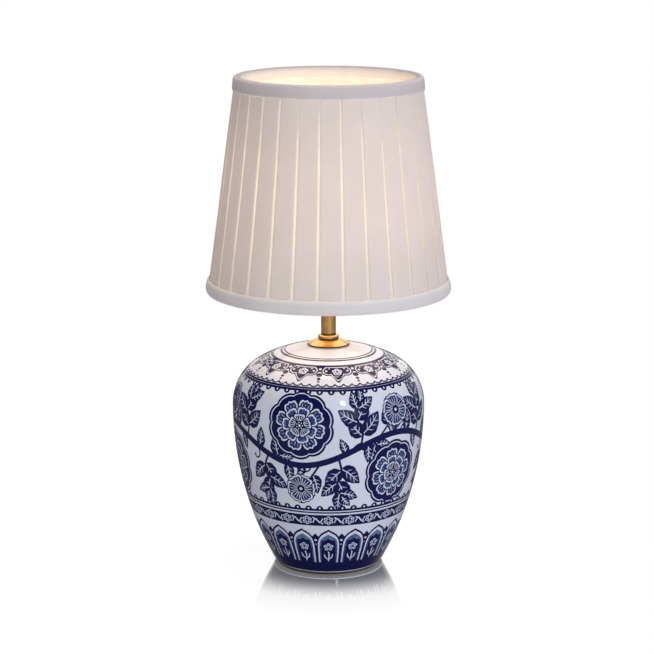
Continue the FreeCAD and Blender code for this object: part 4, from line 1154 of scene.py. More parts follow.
def run_tree(piece: bpy.types.Object, tree: bpy.types.NodeTree, values: dict[str, object]) -> None:
    """Puts a Geometry Nodes modifier on a piece.

    Args:
        piece: the piece to put it on.
        tree: the node tree that it runs.
        values: the tree's inputs by their names.
    """
    modifier = piece.modifiers.new(tree.name, "NODES")
    modifier.node_group = tree
    for item in tree.interface.items_tree:
        if item.in_out == "INPUT" and item.name in values:
            modifier[item.identifier] = values[item.name]


@dataclass
class Bindings:
    """The folded cloth strips that close the shade's top and foot, and the thin lining."""

    cover: PleatedCover
    columns: int = 360
    cloth_thickness: float = 0.55 * MM
    lining_thickness: float = 0.4 * MM
    pucker: float = 0.28 * MM
    ripple: float = 0.10 * MM
    # Painted glow where the lamp's light would come through the strips and the lining.
    edge_glow_reach: float = 0.55 * MM
    inner_glow: float = 0.28
    crest_glow: float = 0.60
    crest_place: float = 1.9 * MM
    crest_reach: float = 1.25 * MM
    lining_glow: float = 0.29
    lining_foot_glow: float = 0.70
    lining_glow_reach: float = 0.28
    lining_draw: float = 0.35 * MM
    lining_wrinkle: float = 0.12 * MM
    ribs: int = 6
    top_path: tuple[Point, ...] = (
        (63.28, 324.35), (63.42, 325), (63.3, 326.8), (63.06, 329), (62.9, 330.8), (62.55, 332.15),
        (61.7, 332.85), (60.4, 333.08), (59.0, 332.85), (57.95, 332.1), (57.35, 330.7), (57.15, 328.8),
        (57.3, 326.7))
    foot_path: tuple[Point, ...] = (
        (80.55, 197.65), (80.95, 197.1), (81.5, 195.6), (81.95, 193.6), (82.1, 191.6), (81.85, 190),
        (81.1, 189), (79.8, 188.7), (78.2, 188.8), (76.6, 189.15), (75.6, 190), (75.2, 191.6),
        (75.2, 193.4), (75.35, 195))

    def build(self) -> None:
        """Makes both strips and the lining."""
        self.strip("top_band", self.top_path, "top_binding", 9.0 * MM, BINDING_CLOTH)
        # The hem takes the lighter copy of the binding cloth: painted light.
        self.strip("hem_band", self.foot_path, "foot_binding", 9.4 * MM, LIT_HEM_CLOTH)
        self.lining()

    def strip(self, name: str, path: tuple[Point, ...], node: str, reach: float, finish: Cloth) -> None:
        """Makes one folded strip.

        Args:
            name: the piece's name.
            path: its fold in the (radius, height) plane in mm, from its outer edge over to its inner edge.
            node: the CAD node that it stands for.
            reach: how far from its outer edge the pleats still show through it.
            finish: its cloth.
        """
        line = smooth_line(path, 3) * MM
        profile = wall_profile(line, self.cloth_thickness)
        edge = line[0]
        gone = np.linalg.norm(profile - edge, axis=1)
        outside = (np.arange(len(profile)) < len(line)) | (np.arange(len(profile)) > len(profile) - 4)
        count, phase = self.cover.pleats, self.cover.phase

        def shift(angle: np.ndarray, index: np.ndarray) -> np.ndarray:
            """Lets the pleats and the wire show through the strip as small puckers.

            Args:
                angle: each point's angle round the axis.
                index: each point's place in the outline.

            Returns:
                Each point's outward and upward shift.
            """
            over = np.cos((angle - phase) * count)
            ripple = 0.4 * np.sin(angle * 7 + 1.0) + 0.3 * np.sin(angle * 13 + 2.2)
            ripple = ripple + 0.25 * np.sin(angle * 47)
            near = np.exp(-(gone[index] / reach * 2.2) ** 2)
            outward = -self.pucker * np.clip(over - 0.2, 0, 1) * near + self.ripple * ripple
            upward = 0.12 * MM * np.sin(angle * count + index * 0.05) * near + 0.08 * MM * ripple
            return np.stack([outward, upward], -1)

        piece = ring_sheet(name, profile, self.columns, shift)
        # Painted light: the strip glows along its outer edge, on its inner side and at its crest.
        inward = profile[:, 0].max() - profile[:, 0]
        inner = np.clip((inward - 0.7 * MM) / (2.6 * MM), 0, 1)
        crest = np.exp(-((inward - self.crest_place) / self.crest_reach) ** 2)
        crest = crest * np.clip(inward / (0.7 * MM) - 0.2, 0, 1)
        edge_line = np.exp(-(gone / self.edge_glow_reach) ** 2) * outside
        glow = np.maximum(edge_line, self.inner_glow * inner + self.crest_glow * crest)
        set_values(piece.data, GLOW, np.tile(glow, self.columns))
        piece.data.materials.append(finish.material())
        place(piece, Body.SHADE, "binding_cloth", node)

    def lining(self) -> None:
        """Makes the lining: one thin cone, drawn slightly in between the ribs."""
        low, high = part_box("shade_lining")
        foot_radius = high.x
        cover = self.cover
        slope = (cover.foot_radius - cover.top_radius) / (cover.top_height - cover.foot_height)
        top_radius = foot_radius - slope * (high.z - low.z)
        heights = np.linspace(low.z, high.z, 40)
        share = (heights - low.z) / (high.z - low.z)
        radii = foot_radius + (top_radius - foot_radius) * share - self.lining_thickness / 2
        line = np.column_stack([radii, heights])
        profile = wall_profile(line, self.lining_thickness)
        level = np.clip((profile[:, 1] - low.z) / (high.z - low.z), 0, 1)

        def shift(angle: np.ndarray, index: np.ndarray) -> np.ndarray:
            """Draws the lining in between the ribs, with a few upright wrinkles.

            Args:
                angle: each point's angle round the axis.
                index: each point's place in the outline.

            Returns:
                Each point's outward and upward shift.
            """
            between = 0.5 - 0.5 * np.cos(angle * self.ribs + math.pi)
            middle = np.sin(level[index] * math.pi)
            wrinkle = np.sin(angle * 31 + 1.3) * np.sin(angle * 5)
            wrinkle = wrinkle + 0.5 * np.sin(angle * 53 + level[index] * 2.0)
            outward = -self.lining_draw * between * middle + self.lining_wrinkle * wrinkle * middle
            return np.stack([outward, 0 * angle], -1)

        piece = ring_sheet("lining_cloth", profile, self.columns, shift)
        # Painted light: the lining glows, most strongly at its foot.
        glow = self.lining_glow + self.lining_foot_glow * np.exp(-(level / self.lining_glow_reach) ** 2)
        set_values(piece.data, GLOW, np.tile(glow, self.columns))
        piece.data.materials.append(LINING_CLOTH.material())
        place(piece, Body.SHADE, "lining", "shade_lining")


@dataclass(frozen=True)
class Stroke:
    """One painted shape in mm: its outline and its tone, which may fade from where the brush set down."""

    outline: np.ndarray
    tone: float
    fade: float = 0.0
    start: Point = (0.0, 0.0)
    reach: float = 1.0

    def tone_at(self, points: np.ndarray) -> np.ndarray:
        """Gives the tone at points of the shape."""
        away = np.linalg.norm(points - np.array(self.start), axis=-1)
        return self.tone - self.fade * np.clip(away / self.reach, 0.0, 1.0)


@dataclass
class Brush:
    """Paints one repeat of a pattern: each call lays one more stroke over the ones before."""

    strokes: list[Stroke] = field(default_factory=list)

    def lay(self, outline: np.ndarray, tone: float, fade: float = 0.0, start: Point = (0.0, 0.0),
            reach: float = 1.0) -> None:
        """Lays one shape, its outline turned anticlockwise.

        Args:
            outline: the shape's points in mm.
            tone: its tone.
            fade: how much tone it loses.
            start: where the brush set down.
            reach: how far from there the tone fades.
        """
        x, y = outline[:, 0], outline[:, 1]
        area = float(np.sum(x * np.roll(y, -1) - y * np.roll(x, -1)))
        self.strokes.append(Stroke(outline if area > 0 else outline[::-1], tone, fade, start, reach))

    def box(self, left: float, right: float, low: float, high: float, tone: float) -> None:
        """Lays an upright box."""
        self.lay(np.array([(left, low), (right, low), (right, high), (left, high)], float), tone)

    def disc(self, x: float, y: float, radius: float, tone: float, fade: float = 0.0,
             points: int = 18) -> None:
        """Lays a round dot, which may fade from its middle.

        Args:
            x: its middle.
            y: its middle.
            radius: its radius.
            tone: its tone.
            fade: how much tone it loses towards its edge.
            points: how many points it has.
        """
        turn = np.linspace(0.0, math.tau, points, endpoint=False)
        outline = np.column_stack([x + radius * np.cos(turn), y + radius * np.sin(turn)])
        self.lay(outline, tone, fade, (x, y), radius)

    def line(self, points: Sequence[Point], width: float, tone: float = 0.95, ends: Point = (0.4, 0.3),
             steps: int = 5) -> None:
        """Lays a brush line.

        Args:
            points: what the line passes through.
            width: its width in the middle.
            tone: its tone.
            ends: its width at the start and the end, as a share of the middle's.
            steps: how many steps each span has.
        """
        middle = smooth_line(points, steps)
        along = np.gradient(middle, axis=0)
        along /= np.linalg.norm(along, axis=1)[:, None]
        share = np.linspace(0.0, 1.0, len(middle))
        opening = ends[0] + (1 - ends[0]) * share / 0.3
        closing = ends[1] + (1 - ends[1]) * (1 - share) / 0.35
        swell = np.minimum(np.minimum(opening, closing), 1)
        half = np.column_stack([-along[:, 1], along[:, 0]]) * (swell * width / 2)[:, None]
        self.lay(np.vstack([middle - half, (middle + half)[::-1]]), tone)

    def leaf(self, x: float, y: float, turn: float, length: float, width: float, bend: float = 0.15,
             tone: float = 0.95) -> None:
        """Lays one veined leaf.

        Args:
            x: where it grows from.
            y: where it grows from.
            turn: its direction in degrees.
            length: its length.
            width: its width.
            bend: how far its tip leaves the straight line, as a share of its length.
            tone: its tone at the root.
        """
        heading = math.radians(turn)
        ahead = np.array([math.cos(heading), math.sin(heading)])
        aside = np.array([-ahead[1], ahead[0]])

        def spot(share: float, out: float) -> np.ndarray:
            """Gives a point at a share of the length and a distance from the midrib."""
            return (np.array([x, y]) + ahead * length * share * (1 - 0.25 * abs(bend) * share)
                    + aside * (bend * length * share ** 2 + out))

        def shape(start: float, end: float, shrink: float) -> np.ndarray:
            """Gives the leaf's outline, drawn in by a margin.

            Args:
                start: where it starts, as a share of the length.
                end: where it ends.
                shrink: how far its sides are drawn in.

            Returns:
                The outline in mm.
            """
            local = np.linspace(0.0, 1.0, 15)
            lobes = 1.0 + 0.08 * np.abs(np.sin(local * math.pi * 3.5))
            half = (width / 2) * np.sin(math.pi * local ** 0.72) ** 0.85 * lobes
            half = np.clip(half - shrink, 0.12 if shrink else 0.0, None)
            shares = start + local * (end - start)
            right = [spot(share, -out) for share, out in zip(shares, half)]
            left = [spot(share, out) for share, out in zip(shares[::-1], half[::-1])][1:-1]
            return np.array(right + left)

        root = tuple(spot(0.0, 0.0))
        self.lay(shape(0.0, 1.0, 0.0), NAVY)
        self.lay(shape(0.3, 0.92, 1.1), tone, 0.3, root, length)
        self.line([spot(0.04, 0), spot(0.4, 0), spot(0.88, 0)], 0.7, BARE, (0.9, 0.3), 4)
        for share in (0.24, 0.44, 0.62):
            for side in (-1, 1):
                reach = side * width * 0.34 * (1.1 - 0.5 * share)
                vein = [spot(share, 0), spot(share + 0.07, reach * 0.5), spot(share + 0.16, reach)]
                self.line(vein, 0.45, BARE, (0.8, 0.3), 2)

    def spray(self, points: Sequence[Point], width: float,
              leaves: Sequence[tuple[float, float, float]]) -> None:
        """Lays a stem with its leaves.

        Args:
            points: what the stem passes through, from its root.
            width: its width.
            leaves: for each leaf its place along the stem, its lean from it in degrees, and its length.
        """
        stem = smooth_line(points, 8)
        for share, lean, length in leaves:
            index = min(int(share * (len(stem) - 1)), len(stem) - 2)
            ahead = stem[index + 1] - stem[index]
            heading = math.degrees(math.atan2(ahead[1], ahead[0])) + lean
            self.leaf(*stem[index], heading, length * 1.2, length * 0.72, -0.18 if lean > 0 else 0.18)
        self.line(points, width, 0.97, (1.0, 0.5), 6)

    def petal(self, x: float, y: float, turn: float, inner: float, outer: float, width: float,
              tone: float = 0.62) -> None:
        """Lays one scalloped petal of a flower: dark line, white edge, wash and veins.

        Args:
            x: the flower's middle.
            y: the flower's middle.
            turn: the petal's direction in degrees.
            inner: how far from the middle it starts.
            outer: how far out it reaches.
            width: its width.
            tone: the wash's tone at its root.
        """
        heading = math.radians(turn)
        turned = np.array([[math.cos(heading), math.sin(heading)], [-math.sin(heading), math.cos(heading)]])
        half_shape = [(0.0, 0.12), (0.3, 0.36), (0.62, 0.5), (0.84, 0.46), (0.93, 0.32), (0.9, 0.17),
                      (1.0, 0.0)]
        shape = np.array(half_shape + [(along, -out) for along, out in half_shape[-2::-1]])

        def outline(start: float, end: float, breadth: float) -> np.ndarray:
            """Gives the petal's outline between two distances from the middle."""
            local = np.column_stack([start + shape[:, 0] * (end - start), shape[:, 1] * breadth])
            return smooth_line(local @ turned + (x, y), 2, closed=True)

        self.lay(outline(inner, outer, width), NAVY)
        self.lay(outline(inner + 0.4, outer - 0.75, width - 1.5), BARE)
        root = (x + inner * math.cos(heading), y + inner * math.sin(heading))
        length = outer - inner
        margin = min(1.75, 0.16 * length + 0.75)
        self.lay(outline(inner + 0.4, outer - margin, width - 2 * margin), tone, tone * 0.5, root, length)
        for lean in (-0.15, 0.0, 0.15):
            tips = [(inner + 0.5, lean * 0.5), (inner + length * 0.4, lean),
                    (inner + length * 0.7, lean * 1.5)]
            vein = [tuple(np.array([along, out * width]) @ turned + (x, y)) for along, out in tips]
            self.line(vein, 0.5, NAVY if tone < 0.8 else BARE, (1.0, 0.3), 2)

    def bloom(self, x: float, y: float, radius: float, turn: float = 0.0) -> None:
        """Lays a full round flower of three rings of petals.

        Args:
            x: its middle.
            y: its middle.
            radius: its radius.
            turn: its first petal's direction in degrees.
        """
        rings = ((8, 1.0, 0.60, NAVY), (7, 0.72, 0.52, 0.66), (5, 0.46, 0.48, NAVY))
        for count, reach, breadth, tone in rings:
            for number in range(count):
                heading = turn + 360.0 * number / count + 20.0 * reach
                self.petal(x, y, heading, radius * reach * 0.30, radius * reach, radius * breadth, tone)
        self.disc(x, y, radius * 0.17, NAVY)
        self.disc(x, y, radius * 0.05, BARE, points=8)
        for number in range(7):
            heading = math.tau * number / 7
            mx, my = x + radius * 0.11 * math.cos(heading), y + radius * 0.11 * math.sin(heading)
            self.disc(mx, my, radius * 0.026, BARE, points=6)

    def roundel(self, x: float, y: float, radius: float, lobes: int = 10) -> None:
        """Lays a lobed dark ground with a white line inside its edge.

        Args:
            x: its middle.
            y: its middle.
            radius: its radius.
            lobes: how many lobes its edge has.
        """
        turn = np.linspace(0.0, math.tau, lobes * 8, endpoint=False)
        edge = 0.93 + 0.07 * np.abs(np.sin(turn * lobes / 2)) ** 0.7
        shape = np.column_stack([edge * np.cos(turn), edge * np.sin(turn)])
        for margin, tone in ((0.0, NAVY), (1.5, BARE), (2.3, NAVY)):
            self.lay(shape * (radius - margin) + (x, y), tone)

    def rosette(self, x: float, y: float, radius: float, petals: int = 5, turn: float = 90.0,
                ground: float = 1.0) -> None:
        """Lays a small open flower on a dark ground or outlined on white.

        Args:
            x: its middle.
            y: its middle.
            radius: its radius.
            petals: how many petals it has.
            turn: its first petal's direction in degrees.
            ground: the tone around its petals.
        """
        for number in range(petals):
            heading = math.radians(turn + 360.0 * number / petals)
            mx, my = x + radius * 0.58 * math.cos(heading), y + radius * 0.58 * math.sin(heading)
            self.disc(mx, my, radius * 0.46, ground, points=12)
            self.disc(mx, my, radius * 0.46 - 0.35, BARE, points=12)
            self.disc(mx, my, radius * 0.2, 0.5, 0.3, points=8)
        self.disc(x, y, radius * 0.26, NAVY, points=10)

    def curl(self, x: float, y: float, turn: float, size: float, winding: float, width: float = 0.8) -> None:
        """Lays a tendril that curls up into a dot.

        Args:
            x: where it leaves the stem.
            y: where it leaves the stem.
            turn: its first direction in degrees.
            size: how far it reaches.
            winding: how far it turns in all, in degrees.
            width: its width.
        """
        steps = 9
        heading, here, spots = math.radians(turn), np.array([x, y]), [(x, y)]
        for step in range(steps):
            length = size * 0.34 * (1 - 0.8 * step / steps)
            here = here + length * np.array([math.cos(heading), math.sin(heading)])
            heading += math.radians(winding) / steps * (0.5 + step / steps)
            spots.append(tuple(here))
        self.line(spots, width, 0.95, (1.0, 0.6), 3)
        self.disc(*spots[-1], width * 0.85, 0.95, points=8)


def paint_neck_rings(brush: Brush, width: float) -> None:
    """Two lines round the shoulder, below the brass cap."""
    brush.box(-width, width, 52.3, 53.8, NAVY)
    brush.box(-width, width, 54.9, 55.9, NAVY)


def paint_collar(brush: Brush, width: float) -> None:
    """A collar of cloud-headed lappets with a small flower in each.

    Args:
        brush: the brush to paint the cell with.
        width: the cell's width in mm.
    """
    brush.box(-width, width, 40.2, 47.5, NAVY)
    for margin, tone in ((0.0, NAVY), (0.9, BARE), (1.7, NAVY)):
        for side in (-1, 1):
            brush.disc(side * 5.7, 41.3, 5.1 - margin, tone, points=24)
        drop = [(-5.4 + margin, 39.2), (-4.8 + margin, 36.6), (-2.6 + margin * 0.6, 34.0),
                (0.0, 30.0 + margin * 1.6), (2.6 - margin * 0.6, 34.0), (4.8 - margin, 36.6),
                (5.4 - margin, 39.2), (0.0, 41.0)]
        brush.lay(smooth_line(drop, 3, closed=True), tone)
        brush.box(-9.2 + margin, 9.2 - margin, 41.5, 46.4 - margin, tone)
    brush.rosette(0.0, 40.4, 3.4, 5, 90.0, BARE)
    for side in (-1, 1):
        brush.disc(side * 7.3, 41.2, 0.95, BARE, points=8)
        brush.disc(side * 5.4, 43.6, 0.7, BARE, points=8)
        brush.disc(side * width / 2, 43.2, 1.2, BARE, points=10)
        brush.disc(side * width / 2, 37.0, 1.9, NAVY, points=12)
        brush.disc(side * width / 2, 33.3, 1.1, 0.75, points=10)
        brush.disc(side * width / 2, 30.9, 0.8, 0.6, points=8)
    for number in range(5):
        middle = (number - 2) * width / 5
        brush.line([(middle - width / 10, 28.9), (middle - width / 20, 27.3), (middle + width / 20, 27.3),
                    (middle + width / 10, 28.9)], 0.9, NAVY, (1, 1), 4)
    brush.box(-width, width, 25.0, 26.5, NAVY)


def paint_scroll(brush: Brush, width: float) -> None:
    """A flowering scroll: one stem that winds between an upper and a lower bloom, with buds and leaves.

    Args:
        brush: the brush to paint the cell with.
        width: the cell's width in mm.
    """
    def on_stem(x: float) -> Point:
        """Gives the stem's point above or below x."""
        return x, -18.0 + 9.5 * math.sin(math.tau * x / width)

    reach = width * 0.56
    sprays = (
        ((on_stem(58), (60.0, -4.0), (57.5, 7.0), (61.0, 16.5)), 1.5,
         ((0.25, 52, 15), (0.3, -55, 14), (0.55, 48, 15), (0.6, -48, 15),
          (0.85, 52, 11), (0.86, -45, 12), (0.99, 0, 9))),
        ((on_stem(7), (8.0, -5.0), (4.0, 6.0), (7.5, 16.0)), 1.5,
         ((0.25, 48, 14), (0.3, -55, 16), (0.55, 46, 14), (0.6, -50, 15),
          (0.85, 50, 11), (0.86, -45, 12), (0.99, 0, 9))),
        ((on_stem(-8), (-6.0, -32.0), (-9.0, -42.0), (-5.0, -50.0)), 1.5,
         ((0.25, 55, 15), (0.3, -52, 15), (0.55, 50, 16), (0.6, -46, 13),
          (0.88, 50, 12), (0.88, -48, 12), (0.99, 0, 9))),
        ((on_stem(-58), (-62.0, -32.0), (-58.0, -42.0), (-62.0, -50.0)), 1.5,
         ((0.25, 55, 15), (0.3, -52, 14), (0.55, 50, 14), (0.6, -46, 14),
          (0.88, 48, 12), (0.88, -48, 11), (0.99, 0, 9))),
        ((on_stem(20), (26.0, -3.5), (31.0, 3.0), (34.0, 9.0)), 1.4,
         ((0.4, -50, 13), (0.45, 62, 11), (0.75, -62, 12))),
        ((on_stem(-20), (-25.0, -33.0), (-30.0, -40.0), (-34.0, -46.0)), 1.4,
         ((0.4, 60, 12), (0.6, -48, 10))),
        ((on_stem(-52), (-47.0, -19.0), (-42.0, -13.0)), 1.5, ((0.2, 60, 13), (0.3, -60, 10))),
        ((on_stem(16), (21.0, -18.0), (27.0, -25.0)), 1.5, ((0.2, -60, 13), (0.3, 60, 10))),
    )
    for points, thickness, leaves in sprays:
        brush.spray(points, thickness, leaves)
    for x, turn, length in ((-44, -70, 15), (-32, -105, 11), (44, 72, 16), (52, -62, 13), (31, 98, 8),
                            (-66, 70, 15), (-3, 100, 12), (12, -78, 14)):
        brush.leaf(*on_stem(x), turn, length, length * 0.5, 0.18 if turn > 0 else -0.18)
    brush.line([on_stem(x) for x in np.linspace(-reach, reach, 27)], 4.2, NAVY, (1, 1), 3)
    curls = ((-38, -50, 9, 300), (38, 60, 9, -320), (66, -40, 8, -300), (1, 60, 8, -300))
    for x, turn, size, winding in curls:
        brush.curl(*on_stem(x), turn, size, winding, 1.1)
    for x, y, radius, turn in ((34.5, 7.0, 11.4, 40.0), (-34.5, -44.5, 11.0, 0.0)):
        for number in range(6):
            brush.petal(x, y, turn + number * 60.0, radius * 0.2, radius, radius * 1.02, NAVY)
        brush.disc(x, y, radius * 0.24, NAVY, points=12)
        brush.disc(x, y, radius * 0.10, BARE, points=8)
    for x, y, turn in ((-34.0, 0.0, 10.0), (34.0, -36.6, 33.0)):
        brush.roundel(x, y, 23.4)
        brush.bloom(x, y, 18.4, turn)
    for edge, inward in ((24.8, -1), (-60.8, 1)):
        brush.box(-width, width, *sorted((edge, edge + inward * 1.7)), NAVY)
        for number in range(16):
            brush.disc((number - 7.5) * width / 16, edge + inward * 1.5, 2.6, NAVY, points=14)
            brush.disc((number - 7.5) * width / 16, edge + inward * 2.1, 0.8, BARE, points=7)


def paint_belt(brush: Brush, width: float) -> None:
    """A dark belt with white flowers and waves left out of it.

    Args:
        brush: the brush to paint the cell with.
        width: the cell's width in mm.
    """
    brush.box(-width, width, -62.7, -61.6, NAVY)
    brush.box(-width, width, -72.6, -64.0, NAVY)
    brush.rosette(0.0, -68.3, 3.6, 6, 90.0)
    for side in (-1, 1):
        middle = side * width / 2
        brush.line([(middle - 3.4, -70.3), (middle - 1.7, -66.7), (middle, -68.3), (middle + 1.7, -69.9),
                    (middle + 3.4, -66.4)], 1.0, BARE, (0.6, 0.6), 4)
        for x, y in ((-2.8, -66.2), (2.8, -70.6)):
            brush.disc(middle + x, y, 0.7, BARE, points=7)


def paint_petals(brush: Brush, width: float) -> None:
    """A row of upright lotus petals on a dark ground over the foot.

    Args:
        brush: the brush to paint the cell with.
        width: the cell's width in mm.
    """
    def arch(margin: float, foot: float, tip: float, half: float) -> np.ndarray:
        """Gives a pointed arch, drawn in by a margin.

        Args:
            margin: how far it is drawn in.
            foot: the height of its foot.
            tip: the height of its point.
            half: half its width.

        Returns:
            The arch's outline in mm.
        """
        side = [(half - margin, foot), (half - margin, foot + 12.0), (half - margin - 0.6, foot + 19.0),
                (half * 0.62 - margin * 0.8, tip - 4.2 - margin), (0.5, tip - 0.6 - margin * 1.7)]
        return smooth_line([*side, (0.0, tip - margin * 1.8), *[(-x, y) for x, y in side[::-1]]], 3)

    half = width / 2
    for side in (-1, 1):
        shifted = arch(0.0, -104.4, -79.0, half * 0.62) + (side * half, 0)
        brush.lay(shifted, NAVY)
        brush.disc(side * half, -84.6, 0.9, BARE, points=8)
        brush.disc(side * half, -88.2, 0.6, BARE, points=7)
    brush.lay(arch(0.0, -104.4, -75.4, half - 0.1), NAVY)
    brush.lay(arch(1.0, -104.4, -75.4, half - 0.1), BARE)
    brush.lay(arch(2.1, -104.4, -76.0, half - 0.1), 0.64, 0.35, (0.0, -104.0), 27.0)
    brush.lay(arch(3.3, -104.4, -77.4, half - 0.1), NAVY)
    brush.rosette(0.0, -90.5, 3.5, 5)
    brush.line([(0.0, -94.5), (0.4, -98.0), (0.0, -103.4)], 0.9, BARE, (0.8, 0.8), 4)
    for side in (-1, 1):
        brush.line([(side * 0.3, -101.5), (side * 2.3, -99.6), (side * 2.9, -96.6)], 1.0, BARE, (0.5, 0.4), 4)
    brush.box(-width, width, -113.2, -104.4, NAVY)


@dataclass
class JarPrint:
    """One band of the jar's painted pattern: a cell drawn flat, repeated and laid on the glaze."""

    name: str
    repeats: int
    middle_radius: float
    low: float
    high: float
    paint: Callable[[Brush, float], None]
    turn: float = 0.0
    grid_step: float = 1.8
    side_step: float = 1.5
    epsilon: float = 1e-4

    @property
    def width(self) -> float:
        """The cell's width in mm."""
        return math.tau * self.middle_radius / self.repeats

    def cell(self) -> bpy.types.Object:
        """Paints one cell and cuts it into triangles.

        Returns:
            The flat cell in metres, with only its painted triangles and their tones.
        """
        brush = Brush()
        self.paint(brush, self.width)
        half = self.width / 2
        strokes = [Stroke(self.divided(stroke.outline + (shift, 0.0)), stroke.tone, stroke.fade,
                          (stroke.start[0] + shift, stroke.start[1]), stroke.reach)
                   for stroke in brush.strokes for shift in (-self.width, 0.0, self.width)
                   if np.any(np.abs(stroke.outline[:, 0] + shift) < half)
                   or stroke.outline[:, 0].min() + shift < 0 < stroke.outline[:, 0].max() + shift]
        across = np.linspace(-half, half, max(2, round(self.width / self.grid_step)) + 1)
        along = np.linspace(self.low, self.high, max(1, round((self.high - self.low) / self.grid_step)) + 1)
        points = [Vector((float(x), float(y))) for x in across for y in along]
        rows = len(along)
        frame_line = [0, (len(across) - 1) * rows, len(points) - 1, rows - 1]
        faces = [frame_line]
        for stroke in strokes:
            faces.append(list(range(len(points), len(points) + len(stroke.outline))))
            points.extend(Vector((float(x), float(y))) for x, y in stroke.outline)
        found, _, triangles, _, _, owners = delaunay_2d_cdt(points, [], faces, 1, self.epsilon, True)
        spots = np.array([tuple(point) for point in found])
        kept, tones = [], []
        for triangle, owner in zip(triangles, owners):
            if 0 not in owner or max(owner) == 0:
                continue
            stroke = strokes[max(owner) - 1]
            if stroke.tone > 0.0:
                kept.append(triangle)
                tones.extend(stroke.tone_at(spots[list(triangle)]))
        used = sorted({index for triangle in kept for index in triangle})
        number = {index: order for order, index in enumerate(used)}
        flat = [(spots[index][0] * MM, spots[index][1] * MM, 0.0) for index in used]
        piece = new_piece(self.name, flat, [[number[index] for index in triangle] for triangle in kept])
        attribute = piece.data.attributes.new(TONE, "FLOAT", "CORNER")
        attribute.data.foreach_set("value", np.array(tones, np.float32))
        return piece

    def divided(self, outline: np.ndarray) -> np.ndarray:
        """Divides an outline's long sides, so that they can bend with the jar.

        Args:
            outline: the outline's points in mm.

        Returns:
            The same outline with points added along its long sides.
        """
        spans = []
        for start, end in zip(outline, np.roll(outline, -1, axis=0)):
            count = max(1, math.ceil(float(np.linalg.norm(end - start)) / self.side_step))
            spans.append(start + (end - start) * np.linspace(0.0, 1.0, count, endpoint=False)[:, None])
        return np.vstack(spans)

    def sizes(self) -> dict[str, float]:
        """Names the band's own sizes that the node tree takes."""
        return {"Repeats": self.repeats, "Cell Width": self.width * MM,
                "Middle Radius": self.middle_radius * MM, "Turn": self.turn}

    def build(self, tree: bpy.types.NodeTree, jar_sizes: dict[str, float]) -> bpy.types.Object:
        """Repeats the cell round the jar and lays it on the glaze.

        Args:
            tree: the node tree that repeats and wraps a cell.
            jar_sizes: the jar's arcs, as the tree's inputs.

        Returns:
            The band as one closed piece.
        """
        piece = self.cell()
        run_tree(piece, tree, {**self.sizes(), **jar_sizes, "Material": COBALT.material()})
        plain_mesh(piece)
        return piece


